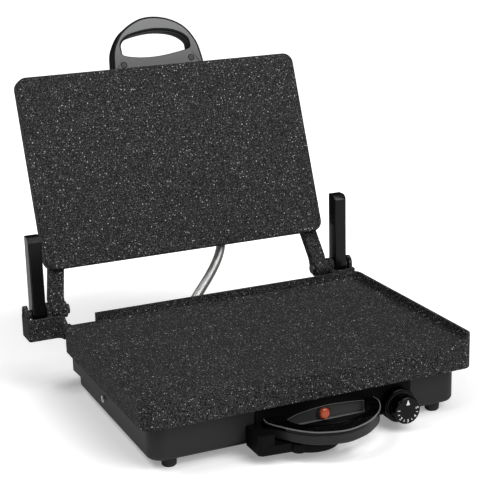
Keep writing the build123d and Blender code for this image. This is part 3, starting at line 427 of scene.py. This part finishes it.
def newGroup(name, inputs):
    group = bpy.data.node_groups.new(name, "GeometryNodeTree")
    group.interface.new_socket("Geometry", in_out="INPUT", socket_type="NodeSocketGeometry")
    for label, kind in inputs:
        group.interface.new_socket(label, in_out="INPUT", socket_type=f"NodeSocket{kind}")
    group.interface.new_socket("Geometry", in_out="OUTPUT", socket_type="NodeSocketGeometry")
    start = group.nodes.new("NodeGroupInput")
    end = group.nodes.new("NodeGroupOutput")
    return group, start, end


def vectorMath(group, operation, first, second=None, scale=None):
    node = group.nodes.new("ShaderNodeVectorMath")
    node.operation = operation
    group.links.new(first, node.inputs[0])
    if second is not None:
        group.links.new(second, node.inputs[1])
    if scale is not None:
        group.links.new(scale, node.inputs["Scale"])
    return node.outputs[0]


def bakedMesh(piece):
    bpy.context.view_layer.update()
    evaluated = piece.evaluated_get(bpy.context.evaluated_depsgraph_get())
    return bpy.data.meshes.new_from_object(evaluated)


def bakeGroup(piece, group, values):
    modifier = piece.modifiers.new(group.name, "NODES")
    modifier.node_group = group
    for item in group.interface.items_tree:
        if item.in_out == "INPUT" and item.name in values:
            modifier[item.identifier] = values[item.name]
    mesh = bakedMesh(piece)
    piece.modifiers.clear()
    piece.data = mesh


def addPiece(name, data):
    piece = bpy.data.objects.new(name, data)
    bpy.context.scene.collection.objects.link(piece)
    return piece


# Rings and strips between two outlines, each drawn through the same number of points

sharpFrom = math.radians(35)


# A smooth closed line through the points, with a sharp turn at each corner
def drawLoop(points, corners, steps):
    count = len(points)
    spots = [Vector(point) for point in points]
    line = []
    for i in range(count):
        here, ahead = spots[i], spots[(i + 1) % count]
        before = here * 2 - ahead if i in corners else spots[i - 1]
        after = ahead * 2 - here if (i + 1) % count in corners else spots[(i + 2) % count]
        for step in range(steps):
            t = step / steps
            line.append(0.5 * (
                2 * here + (ahead - before) * t + (2 * before - 5 * here + 4 * ahead - after) * t * t
                + (3 * here - before - 3 * ahead + after) * t * t * t
            ))
    return line


def addRing(name, outer, inner, levels, place, finish, closed=True):
    body = bmesh.new()
    count = len(outer)
    lowOuter, lowInner, highOuter, highInner = (
        [body.verts.new(place(point.x, point.y, level)) for point in line]
        for level in levels for line in (outer, inner)
    )
    if not closed:
        for i in (0, count - 1):
            body.faces.new((lowOuter[i], lowInner[i], highInner[i], highOuter[i]))
    for i in range(count if closed else count - 1):
        j = (i + 1) % count
        body.faces.new((lowOuter[i], lowOuter[j], lowInner[j], lowInner[i]))
        body.faces.new((highOuter[i], highInner[i], highInner[j], highOuter[j]))
        body.faces.new((lowOuter[i], highOuter[i], highOuter[j], lowOuter[j]))
        body.faces.new((lowInner[i], lowInner[j], highInner[j], highInner[i]))
    bmesh.ops.recalc_face_normals(body, faces=body.faces[:])
    for side in body.faces:
        side.smooth = True
    mesh = closeMesh(name, body, [finishes[finish]])
    mesh.set_sharp_from_angle(angle=sharpFrom)
    return addPiece(name, mesh)


def addSlab(body, line, levels, place, slot=0):
    low, high = ([body.verts.new(place(point.x, point.y, level)) for point in line] for level in levels)
    count = len(line)
    sides = [body.faces.new(low), body.faces.new(high[::-1])]
    sides += [body.faces.new((low[i - 1], high[i - 1], high[i], low[i])) for i in range(count)]
    bmesh.ops.recalc_face_normals(body, faces=sides)
    for side in sides:
        side.material_index = slot


def roundLine(middle, reach, count):
    turns = [2 * math.pi * k / count for k in range(count)]
    return [Vector(middle) + Vector((math.cos(turn), math.sin(turn))) * reach for turn in turns]


def closeMesh(name, body, materials):
    mesh = bpy.data.meshes.new(name)
    body.to_mesh(mesh)
    body.free()
    for material in materials:
        mesh.materials.append(material)
    return mesh


# Moves a line to its right, seen along it
def inset(line, amount, closed=True):
    count = len(line)
    moved = []
    for i, point in enumerate(line):
        ahead = line[(i + 1) % count] if closed or i < count - 1 else point
        behind = line[i - 1] if closed or i > 0 else point
        along = (ahead - behind).normalized()
        moved.append(point + Vector((along.y, -along.x)) * amount)
    return moved


# Front handle: a glossy crescent over a matt band, both open for the fingers

handle = {
    "outer": [
        (-0.0540, -0.1140), (-0.0540, -0.1270), (-0.0420, -0.1470), (-0.0305, -0.1605), (-0.0170, -0.1695),
        (0.0070, -0.1755), (0.0300, -0.1695), (0.0465, -0.1590), (0.0600, -0.1455), (0.0690, -0.1270),
        (0.0690, -0.1140),
    ],
    "inner": [
        (-0.0310, -0.1140), (-0.0335, -0.1260), (-0.0310, -0.1375), (-0.0245, -0.1450), (-0.0150, -0.1510),
        (0.0075, -0.1562), (0.0270, -0.1525), (0.0400, -0.1475), (0.0520, -0.1390), (0.0590, -0.1270),
        (0.0595, -0.1140),
    ],
    "steps": 8,
    "low": 0.021,
    "split": 0.0312,
    "high": 0.035,
    "bandInset": 0.0007,
    "topRound": 0.0007,
    "bandRound": 0.0012,
    "roundSteps": 4,
    "lineWidth": 0.0009,
    "lineLift": 0.0001,
    "screws": [(-0.0445, 0.0275), (0.0643, 0.0275)],
    "screwEnds": (-0.1085, -0.1240),
    "screwRadius": 0.00175,
    "headRadius": 0.0034,
    "headDepth": 0.0016,
    "screwSides": 24,
}


def inPart(x, y, z):
    return Vector((x, y, z)) + fromPart


def drawStroke(points, steps):
    last = len(points) - 1
    return drawLoop(points, (0, last), steps)[:last * steps + 1]


def handleScrewMesh():
    body = bmesh.new()
    rear, front = handle["screwEnds"]
    shank = (handle["screwRadius"], front, rear)
    head = (handle["headRadius"], rear, rear + handle["headDepth"])
    for x, z in handle["screws"]:
        for reach, start, end in (shank, head):
            middle = inPart(x, (start + end) / 2, z)
            place = Matrix.Translation(middle) @ Matrix.Rotation(math.pi / 2, 4, "X")
            bmesh.ops.create_cone(
                body, cap_ends=True, segments=handle["screwSides"], radius1=reach, radius2=reach,
                depth=abs(end - start), matrix=place,
            )
    return closeMesh("handleScrews", body, [finishes["zinc"]])


def makeFrontHandle():
    outer = drawStroke(handle["outer"], handle["steps"])
    inner = drawStroke(handle["inner"], handle["steps"])
    top = addRing(
        "handleTop", outer, inner, (handle["split"], handle["high"]), inPart, "gloss", closed=False,
    )
    softenEdges(top, handle["topRound"], handle["roundSteps"])
    # painted highlight: a light strip along the handle's outer top edge
    lineLevels = (handle["high"] - handle["lineWidth"], handle["high"] + handle["lineLift"])
    line = addRing(
        "handleHighlightLine", inset(outer, handle["lineLift"], False), inset(outer, -handle["lineWidth"], False),
        lineLevels, inPart, "edge", closed=False,
    )
    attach(line, "base")
    band = addRing(
        "handleBand", inset(outer, -handle["bandInset"], False), inset(inner, handle["bandInset"], False),
        (handle["low"], handle["split"]), inPart, "matt", closed=False,
    )
    softenEdges(band, handle["bandRound"], handle["roundSteps"])
    screws = addPiece("handleScrews", handleScrewMesh())
    for piece, node, slot in (
        (top, "base_handle_top", "gloss_moulding"), (band, "base_handle_bottom", "black_moulding"),
        (screws, "base_handle_screws", "screw_steel"),
    ):
        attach(piece, "base")
        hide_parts(node)


makeFrontHandle()
print("front handle made")

# Dark fascia behind it: a thin plate with an arched opening for the lamp, and a ring on the dial's boss

fascia = {
    "outer": [
        (-0.0620, 0.0314), (-0.0620, 0.0460), (-0.0300, 0.0460), (0.0150, 0.0460), (0.0600, 0.0460),
        (0.1125, 0.0460), (0.1125, 0.0150), (0.0700, 0.0150), (0.0160, 0.0150), (0.0160, 0.0204),
        (-0.0300, 0.0204), (-0.0546, 0.0204), (-0.0546, 0.0314),
    ],
    "inner": [
        (-0.0290, 0.0275), (-0.0265, 0.0296), (-0.0130, 0.0332), (0.0130, 0.0358), (0.0350, 0.0352),
        (0.0575, 0.0330), (0.0580, 0.0240), (0.0580, 0.0212), (0.0300, 0.0212), (0.0165, 0.0212),
        (-0.0050, 0.0212), (-0.0230, 0.0212), (-0.0270, 0.0240),
    ],
    "smooth": (2, 3, 4),
    "steps": 6,
    "back": -0.1128,
    "front": -0.1152,
    "round": 0.0003,
    "roundSteps": 3,
    "lipIn": 0.0005,
    "lipOut": 0.000125,
    "panel": -0.1132,
    "boss": (0.095, 0.0235),
    "bossOuter": 0.0179,
    "bossInner": 0.0152,
    "bossFront": -0.1254,
    "bossRound": 0.0009,
    "bossSides": 72,
}


def onWall(x, z, y):
    return inPart(x, y, z)


def makeFascia():
    count = len(fascia["outer"])
    corners = [i for i in range(count) if i not in fascia["smooth"]]
    arch = drawLoop(fascia["inner"], corners, fascia["steps"])
    plate = addRing(
        "fasciaPlate", drawLoop(fascia["outer"], range(count), fascia["steps"]), arch,
        (fascia["back"], fascia["front"]), onWall, "dark",
    )
    softenEdges(plate, fascia["round"], fascia["roundSteps"])
    # painted highlight: a light strip lining the top edge of the arch
    lip = addRing(
        "archHighlight", inset(arch, -fascia["lipIn"]), inset(arch, fascia["lipOut"]),
        (fascia["panel"], fascia["front"] - fascia["round"]), onWall, "edge",
    )
    # painted light: a lighter sheet over the housing wall within the arch, which lies in shade
    body = bmesh.new()
    addSlab(body, arch, (fascia["back"], fascia["panel"]), onWall)
    panel = addPiece("archLitPanel", closeMesh("archLitPanel", body, [finishes["panel"]]))
    outer, inner = (
        roundLine(fascia["boss"], fascia[reach], fascia["bossSides"])
        for reach in ("bossOuter", "bossInner")
    )
    ring = addRing("bossRing", outer, inner, (fascia["back"], fascia["bossFront"]), onWall, "gloss")
    softenEdges(ring, fascia["bossRound"], fascia["roundSteps"])
    for piece in (plate, lip, panel, ring):
        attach(piece, "base")


makeFascia()
print("fascia made")

# Lid handle: two halves round one window, the front one with a grey face, and two sunk screws

grip = {
    "outer": [
        (-0.0500, 0.2550), (-0.0490, 0.2690), (-0.0455, 0.2865), (-0.0330, 0.3055), (-0.0130, 0.3178),
        (0.0060, 0.3210), (0.0270, 0.3172), (0.0455, 0.3065), (0.0575, 0.2885), (0.0617, 0.2690),
        (0.0625, 0.2550), (0.0350, 0.2550), (0.0060, 0.2550), (-0.0250, 0.2550),
    ],
    "inner": [
        (-0.0338, 0.2780), (-0.0358, 0.2838), (-0.0352, 0.2910), (-0.0275, 0.2981), (-0.0130, 0.3021),
        (0.0060, 0.3041), (0.0250, 0.3023), (0.0380, 0.2977), (0.0460, 0.2910), (0.0475, 0.2845),
        (0.0452, 0.2800), (0.0260, 0.2761), (0.0040, 0.2738), (-0.0170, 0.2745),
    ],
    "corners": (0, 10, 11, 12, 13),
    "steps": 8,
    "front": -0.0055,
    "split": -0.0130,
    "backSplit": -0.0132,
    "back": -0.0225,
    "round": 0.0012,
    "roundSteps": 4,
    "rim": 0.0024,
    "windowRim": 0.0019,
    "faceDrop": 0.0010,
    "faceLift": 0.00012,
    "screws": [(-0.0364, 0.2665), (0.0475, 0.2685)],
    "screwEnd": -0.0100,
    "collar": {"reach": 0.0039, "front": -0.0053},
    "head": {"reach": 0.0030, "front": -0.0051},
    "screwSides": 32,
}


def onLid(x, v, n):
    return Vector((hinge.x + x, hinge.y, hinge.z)) + lidUp * v + lidNormal * n


def gripScrewMesh():
    body = bmesh.new()
    for spot in grip["screws"]:
        for slot, disc in enumerate((grip["collar"], grip["head"])):
            line = roundLine(spot, disc["reach"], grip["screwSides"])
            addSlab(body, line, (grip["screwEnd"], disc["front"]), onLid, slot)
    return closeMesh("gripScrews", body, [finishes["dark"], finishes["panel"]])


def makeLidHandle():
    outer = drawLoop(grip["outer"], grip["corners"], grip["steps"])
    inner = drawLoop(grip["inner"], (), grip["steps"])
    front = addRing("gripFront", outer, inner, (grip["split"], grip["front"]), onLid, "dark")
    softenEdges(front, grip["round"], grip["roundSteps"])
    window = [point + Vector((0, grip["faceDrop"])) for point in inset(inner, -grip["windowRim"])]
    faceLevels = (grip["front"] - grip["faceLift"], grip["front"] + grip["faceLift"])
    shell = addRing("gripFace", inset(outer, grip["rim"]), window, faceLevels, onLid, "grip")
    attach(shell, "lid")
    back = addRing("gripBack", outer, inner, (grip["back"], grip["backSplit"]), onLid, "dark")
    softenEdges(back, grip["round"], grip["roundSteps"])
    screws = addPiece("gripScrews", gripScrewMesh())
    for piece, node, slot in (
        (front, "lid_handle_front", "gloss_moulding"), (back, "lid_handle_back", "black_moulding"),
        (screws, "lid_handle_screws", "screw_steel"),
    ):
        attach(piece, "lid")
        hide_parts(node)


makeLidHandle()
print("lid handle made")

# Sprung sleeve: a close-wound wire that follows the lead from the base to the lid

sleeve = {
    "points": [
        (-0.040, 0.1318, 0.032),
        (-0.040, 0.1318, 0.056),
        (-0.022, 0.139, 0.075),
        (0.016, 0.162, 0.105),
    ],
    "exitAcross": 0.048,
    "exitOut": -0.012,
    "exitAlong": 0.054,
    "gland": 0.008,
    "inGland": 0.002,
    "outer": 0.0055,
    "wire": 0.0005,
    "wireSides": 8,
    "pitch": 0.00104,
    "perTurn": 18,
    "tube": 0.0052,
    "core": 0.0040,
    "tubeSides": 20,
    "steps": 24,
    "bendFrom": 0.2,  # shares of the way from the base to the lid
    "bendTo": 0.98,
}


def routeLine(points):
    curve = bpy.data.curves.new("route", "CURVE")
    curve.dimensions = "3D"
    curve.resolution_u = sleeve["steps"]
    spline = curve.splines.new("NURBS")
    spline.points.add(len(points) - 1)
    for knot, point in zip(spline.points, points):
        knot.co = (*point, 1)
    spline.order_u = 3
    spline.use_endpoint_u = True
    shape = addPiece("route", curve)
    line = [vertex.co.copy() for vertex in bakedMesh(shape).vertices]
    bpy.data.objects.remove(shape)
    return line


def lineMesh(name, points):
    mesh = bpy.data.meshes.new(name)
    mesh.from_pydata([tuple(point) for point in points], [(i, i + 1) for i in range(len(points) - 1)], [])
    return mesh


def windingGroup():
    group, start, end = newGroup(
        "winding",
        [("Coil Radius", "Float"), ("Wire Radius", "Float"), ("Points", "Int"), ("Per Turn", "Int"),
         ("Material", "Material")],
    )
    curve = group.nodes.new("GeometryNodeMeshToCurve")
    resample = group.nodes.new("GeometryNodeResampleCurve")
    index = group.nodes.new("GeometryNodeInputIndex")
    normal = group.nodes.new("GeometryNodeInputNormal")
    tangent = group.nodes.new("GeometryNodeInputTangent")
    place = group.nodes.new("GeometryNodeSetPosition")
    circle = group.nodes.new("GeometryNodeCurvePrimitiveCircle")
    circle.inputs["Resolution"].default_value = sleeve["wireSides"]
    solid = group.nodes.new("GeometryNodeCurveToMesh")
    solid.inputs["Fill Caps"].default_value = True
    smooth = group.nodes.new("GeometryNodeSetShadeSmooth")
    paint = group.nodes.new("GeometryNodeSetMaterial")
    turns = mathNode(group, "DIVIDE", index.outputs[0], start.outputs["Per Turn"])
    angle = mathNode(group, "MULTIPLY", turns, 2 * math.pi)
    side = vectorMath(group, "CROSS_PRODUCT", tangent.outputs[0], normal.outputs[0])
    alongNormal = vectorMath(group, "SCALE", normal.outputs[0], scale=mathNode(group, "COSINE", angle))
    alongSide = vectorMath(group, "SCALE", side, scale=mathNode(group, "SINE", angle))
    spoke = vectorMath(group, "ADD", alongNormal, alongSide)
    offset = vectorMath(group, "SCALE", spoke, scale=start.outputs["Coil Radius"])
    group.links.new(start.outputs["Geometry"], curve.inputs["Mesh"])
    group.links.new(curve.outputs["Curve"], resample.inputs["Curve"])
    group.links.new(start.outputs["Points"], resample.inputs["Count"])
    group.links.new(resample.outputs["Curve"], place.inputs["Geometry"])
    group.links.new(offset, place.inputs["Offset"])
    group.links.new(place.outputs["Geometry"], solid.inputs["Curve"])
    group.links.new(start.outputs["Wire Radius"], circle.inputs["Radius"])
    group.links.new(circle.outputs["Curve"], solid.inputs["Profile Curve"])
    group.links.new(solid.outputs["Mesh"], smooth.inputs["Geometry"])
    group.links.new(smooth.outputs["Geometry"], paint.inputs["Geometry"])
    group.links.new(start.outputs["Material"], paint.inputs["Material"])
    group.links.new(paint.outputs["Geometry"], end.inputs["Geometry"])
    return group


def tubeMesh(name, route, radius, material):
    body = bmesh.new()
    sides = sleeve["tubeSides"]
    rings = []
    across = Vector((1, 0, 0))
    for i, point in enumerate(route):
        ahead = (route[min(i + 1, len(route) - 1)] - route[max(i - 1, 0)]).normalized()
        across = (across - ahead * across.dot(ahead)).normalized()
        beside = ahead.cross(across)
        ring = []
        for k in range(sides):
            turn = 2 * math.pi * k / sides
            spoke = across * math.cos(turn) + beside * math.sin(turn)
            ring.append(body.verts.new(point + radius * spoke))
        rings.append(ring)
    for low, high in zip(rings, rings[1:]):
        for k in range(sides):
            side = body.faces.new((low[k], low[(k + 1) % sides], high[(k + 1) % sides], high[k]))
            side.smooth = True
    body.faces.new(list(reversed(rings[0])))
    body.faces.new(rings[-1])
    return closeMesh(name, body, [material])


def makeSleeve():
    points = [Vector(point) + fromPart for point in sleeve["points"]]
    exitPoint = Vector((hinge.x + sleeve["exitAcross"], hinge.y, hinge.z))
    exitPoint += lidUp * sleeve["exitAlong"] + lidNormal * sleeve["exitOut"]
    points.append(exitPoint - lidUp * sleeve["gland"])
    points.append(exitPoint + lidUp * sleeve["inGland"])
    route = routeLine(points)
    length = sum((b - a).length for a, b in zip(route, route[1:]))
    turns = length / sleeve["pitch"]
    winding = addPiece("woundSleeve", lineMesh("woundSleeve", route))
    bakeGroup(winding, windingGroup(), {
        "Coil Radius": sleeve["outer"] - sleeve["wire"],
        "Wire Radius": sleeve["wire"],
        "Points": int(turns * sleeve["perTurn"]),
        "Per Turn": sleeve["perTurn"],
        "Material": finishes["sleeve"],
    })
    core = addPiece("sleeveCore", tubeMesh("sleeveCore", route, sleeve["core"], finishes["rubber"]))
    tube = addPiece("sleeveTube", tubeMesh("sleeveTube", route, sleeve["tube"], finishes["sleeve"]))
    for piece in (winding, core, tube):
        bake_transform(piece)
    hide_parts("lead_sleeve")
    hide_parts("inner_lead")
    print("sleeve length", round(length, 4), "turns", round(turns), "route end", tuple(route[-1]))


makeSleeve()

# Marks on the dial: a pointer, five numbers and dashes between them

marks = {
    "lift": 0.00003,
    "thickness": 0.00008,
    "numberRadius": 0.0108,
    "numberSize": 0.0046,
    "numberStroke": 0.00008,
    "firstTurn": 280,  # degrees, clockwise from the top
    "step": -50,
    "numbers": "12345",
    "dashLength": 0.0022,
    "dashWidth": 0.0007,
    "pointerInner": 0.0062,
    "pointerOuter": 0.0118,
    "pointerHalf": 0.0021,
}


def dialFace():
    low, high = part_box("dial_knob")
    centre = Vector(((low.x + high.x) / 2, low.y - marks["lift"], (low.z + high.z) / 2))
    return Matrix.Translation(centre) @ Matrix.Rotation(math.radians(90), 4, "X")


def onDial(turn, radius):
    angle = math.radians(90 - turn)
    place = Vector((radius * math.cos(angle), radius * math.sin(angle), 0))
    return Matrix.Translation(place) @ Matrix.Rotation(angle + math.pi / 2, 4, "Z")


def dashGroup():
    group, start, end = newGroup(
        "dashes",
        [("Radius", "Float"), ("First", "Float"), ("Step", "Float"), ("Count", "Int"), ("Length", "Float"),
         ("Width", "Float"), ("Thickness", "Float"), ("Material", "Material")],
    )
    points = group.nodes.new("GeometryNodePoints")
    index = group.nodes.new("GeometryNodeInputIndex")
    place = group.nodes.new("ShaderNodeCombineXYZ")
    turn = group.nodes.new("ShaderNodeCombineXYZ")
    size = group.nodes.new("ShaderNodeCombineXYZ")
    bar = group.nodes.new("GeometryNodeMeshCube")
    spread = group.nodes.new("GeometryNodeInstanceOnPoints")
    real = group.nodes.new("GeometryNodeRealizeInstances")
    paint = group.nodes.new("GeometryNodeSetMaterial")
    stepped = mathNode(group, "MULTIPLY", index.outputs[0], start.outputs["Step"])
    angle = mathNode(group, "ADD", start.outputs["First"], stepped)
    for axis, operation in (("X", "COSINE"), ("Y", "SINE")):
        share = mathNode(group, operation, angle)
        group.links.new(mathNode(group, "MULTIPLY", start.outputs["Radius"], share), place.inputs[axis])
    group.links.new(angle, turn.inputs["Z"])
    group.links.new(start.outputs["Length"], size.inputs["X"])
    group.links.new(start.outputs["Width"], size.inputs["Y"])
    group.links.new(start.outputs["Thickness"], size.inputs["Z"])
    group.links.new(size.outputs[0], bar.inputs["Size"])
    group.links.new(start.outputs["Count"], points.inputs["Count"])
    group.links.new(place.outputs[0], points.inputs["Position"])
    group.links.new(points.outputs[0], spread.inputs["Points"])
    group.links.new(bar.outputs["Mesh"], spread.inputs["Instance"])
    group.links.new(turn.outputs[0], spread.inputs["Rotation"])
    group.links.new(spread.outputs["Instances"], real.inputs["Geometry"])
    group.links.new(real.outputs["Geometry"], paint.inputs["Geometry"])
    group.links.new(start.outputs["Material"], paint.inputs["Material"])
    group.links.new(paint.outputs["Geometry"], end.inputs["Geometry"])
    return group


def makeDashes():
    dashes = addPiece("dialDashes", bpy.data.meshes.new("dialDashes"))
    bakeGroup(dashes, dashGroup(), {
        "Radius": marks["numberRadius"],
        "First": math.radians(90 - marks["firstTurn"] - marks["step"] / 2),
        "Step": math.radians(-marks["step"]),
        "Count": len(marks["numbers"]) - 1,
        "Length": marks["dashLength"],
        "Width": marks["dashWidth"],
        "Thickness": marks["thickness"],
        "Material": finishes["print"],
    })
    dashes.data.transform(dialFace())
    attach(dashes, "dial")


def makeNumbers():
    body = bmesh.new()
    for order, number in enumerate(marks["numbers"]):
        text = bpy.data.curves.new("number", "FONT")
        text.body = number
        text.size = marks["numberSize"]
        text.extrude = marks["thickness"] / 2
        text.offset = marks["numberStroke"]
        text.align_x = "CENTER"
        text.align_y = "CENTER"
        shape = addPiece("number", text)
        mesh = bakedMesh(shape)
        turn = marks["firstTurn"] + marks["step"] * order
        mesh.transform(dialFace() @ onDial(turn, marks["numberRadius"]))
        body.from_mesh(mesh)
        bpy.data.objects.remove(shape)
    joined = closeMesh("dialNumbers", body, [finishes["print"]])
    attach(addPiece("dialNumbers", joined), "dial")


def makePointer():
    body = bmesh.new()
    half = marks["thickness"] / 2
    corners = [
        (-marks["pointerHalf"], marks["pointerInner"]),
        (marks["pointerHalf"], marks["pointerInner"]),
        (0, marks["pointerOuter"]),
    ]
    low = [body.verts.new((x, y, -half)) for x, y in corners]
    high = [body.verts.new((x, y, half)) for x, y in corners]
    body.faces.new(high)
    body.faces.new(list(reversed(low)))
    for k in range(len(corners)):
        body.faces.new((low[k - 1], low[k], high[k], high[k - 1]))
    mesh = closeMesh("dialPointer", body, [finishes["print"]])
    mesh.transform(dialFace())
    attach(addPiece("dialPointer", mesh), "dial")


makeDashes()
makeNumbers()
makePointer()
print("dial marked")

# Studio: pale floor, a sky that is brightest overhead, one broad sun and panels for the edge lights

sky = {
    "turn": 23,
    "rise": {"from": 0.0, "to": 0.7, "low": 0.007, "high": 0.03},
    "depth": {"from": -0.8, "to": 0.1, "low": 0.44, "high": 1.0},
}
paper = {
    "half": 9.0,
    "colour": (0.93, 0.93, 0.93),
    "roughness": 0.9,
    "specular": 0.1,
    "near": 0.2,
    "far": 0.6,
    "low": 0.28,
    "high": 0.9,
}
studio = {
    "sun": {"strength": 1.0, "spread": 40, "turn": (52, 0, 20)},
    "panels": [
        {"place": (-1.4, 0.2, 2.1), "size": (1.0, 1.0), "power": 24},
        {"place": (0.9, -1.6, 1.9), "size": (1.6, 1.6), "power": 26},
        {"place": (0.2, -0.75, 2.2), "size": (1.5, 0.1), "power": 9},
    ],
    "aim": (0.0, 0.0, 0.12),
}


def makeSky():
    world = bpy.data.worlds.new("sky")
    world.use_nodes = True
    bpy.context.scene.world = world
    tree = world.node_tree
    back = tree.nodes["Background"]
    back.inputs["Color"].default_value = (1, 1, 1, 1)
    place = tree.nodes.new("ShaderNodeTexCoord")
    turn = addNode(tree, "ShaderNodeMapping", Rotation=(0, 0, math.radians(sky["turn"])))
    parts = tree.nodes.new("ShaderNodeSeparateXYZ")
    tree.links.new(place.outputs["Generated"], turn.inputs["Vector"])
    tree.links.new(turn.outputs["Vector"], parts.inputs["Vector"])
    levels = []
    for axis, fade in (("Z", sky["rise"]), ("Y", sky["depth"])):
        ramp = addNode(tree, "ShaderNodeMapRange", **{
            "From Min": fade["from"], "From Max": fade["to"], "To Min": fade["low"], "To Max": fade["high"],
        })
        tree.links.new(parts.outputs[axis], ramp.inputs["Value"])
        levels.append(ramp.outputs["Result"])
    level = mathNode(tree, "MULTIPLY", levels[0], levels[1])
    seen = tree.nodes.new("ShaderNodeLightPath")
    level = mathNode(tree, "MAXIMUM", level, seen.outputs["Is Camera Ray"])
    tree.links.new(level, back.inputs["Strength"])


def floorPaper():
    material, tree, surface = newMaterial(
        "floorPaper", paper["colour"], paper["roughness"], specular=paper["specular"],
    )
    reach = tree.nodes.new("ShaderNodeVectorMath")
    reach.operation = "LENGTH"
    tree.links.new(objectPlace(tree), reach.inputs[0])
    lift = addNode(tree, "ShaderNodeMapRange", **{
        "From Min": paper["near"], "From Max": paper["far"],
        "To Min": paper["low"], "To Max": paper["high"],
    })
    tree.links.new(reach.outputs["Value"], lift.inputs["Value"])
    seen = tree.nodes.new("ShaderNodeLightPath")
    level = mathNode(tree, "MULTIPLY", lift.outputs["Result"], seen.outputs["Is Camera Ray"])
    surface.inputs["Emission Color"].default_value = (1, 1, 1, 1)
    tree.links.new(level, surface.inputs["Emission Strength"])
    return material


def makeFloor():
    half = paper["half"]
    corners = [(-half, -half, 0), (half, -half, 0), (half, half, 0), (-half, half, 0)]
    mesh = bpy.data.meshes.new("floor")
    mesh.from_pydata(corners, [], [(0, 1, 2, 3)])
    floor = addPiece("floor", mesh)
    mesh.materials.append(floorPaper())


def makeLights():
    sun = bpy.data.lights.new("sun", "SUN")
    sun.energy = studio["sun"]["strength"]
    sun.angle = math.radians(studio["sun"]["spread"])
    sunHolder = addPiece("sun", sun)
    sunHolder.rotation_euler = [math.radians(angle) for angle in studio["sun"]["turn"]]
    for order, panel in enumerate(studio["panels"]):
        light = bpy.data.lights.new(f"panel{order}", "AREA")
        light.energy = panel["power"]
        light.shape = "RECTANGLE"
        light.size, light.size_y = panel["size"]
        holder = addPiece(f"panel{order}", light)
        holder.location = panel["place"]
        aim = Vector(studio["aim"]) - Vector(panel["place"])
        holder.rotation_euler = aim.to_track_quat("-Z", "Y").to_euler()


makeFloor()
makeSky()
makeLights()
print("studio made")

# Camera at the photograph's place

view = {
    "lens": 98.3,
    "sensor": 36,
    "farEnd": 50,
    "shift": (0.0382, -0.0076),
    "yaw": 23.10,
    "pitch": 16.40,
    "roll": -1.70,
    "fromHinge": (-0.5504, -1.3833, 0.4870),
}


def makeCamera():
    yaw, pitch, roll = (math.radians(view[key]) for key in ("yaw", "pitch", "roll"))
    ahead = Vector((math.cos(pitch) * math.sin(yaw), math.cos(pitch) * math.cos(yaw), -math.sin(pitch)))
    right = ahead.cross(Vector((0, 0, 1))).normalized()
    up = right.cross(ahead)
    rolledRight = right * math.cos(roll) + up * math.sin(roll)
    rolledUp = up * math.cos(roll) - right * math.sin(roll)
    turn = Matrix((rolledRight, rolledUp, -ahead)).transposed()
    lens = bpy.data.cameras.new("camera")
    lens.lens = view["lens"]
    lens.sensor_width = view["sensor"]
    lens.shift_x, lens.shift_y = view["shift"]
    lens.clip_end = view["farEnd"]
    camera = addPiece("camera", lens)
    camera.matrix_world = Matrix.Translation(hinge + Vector(view["fromHinge"])) @ turn.to_4x4()
    bpy.context.scene.camera = camera


makeCamera()
bpy.context.scene.view_settings.view_transform = "Standard"
print("camera placed")
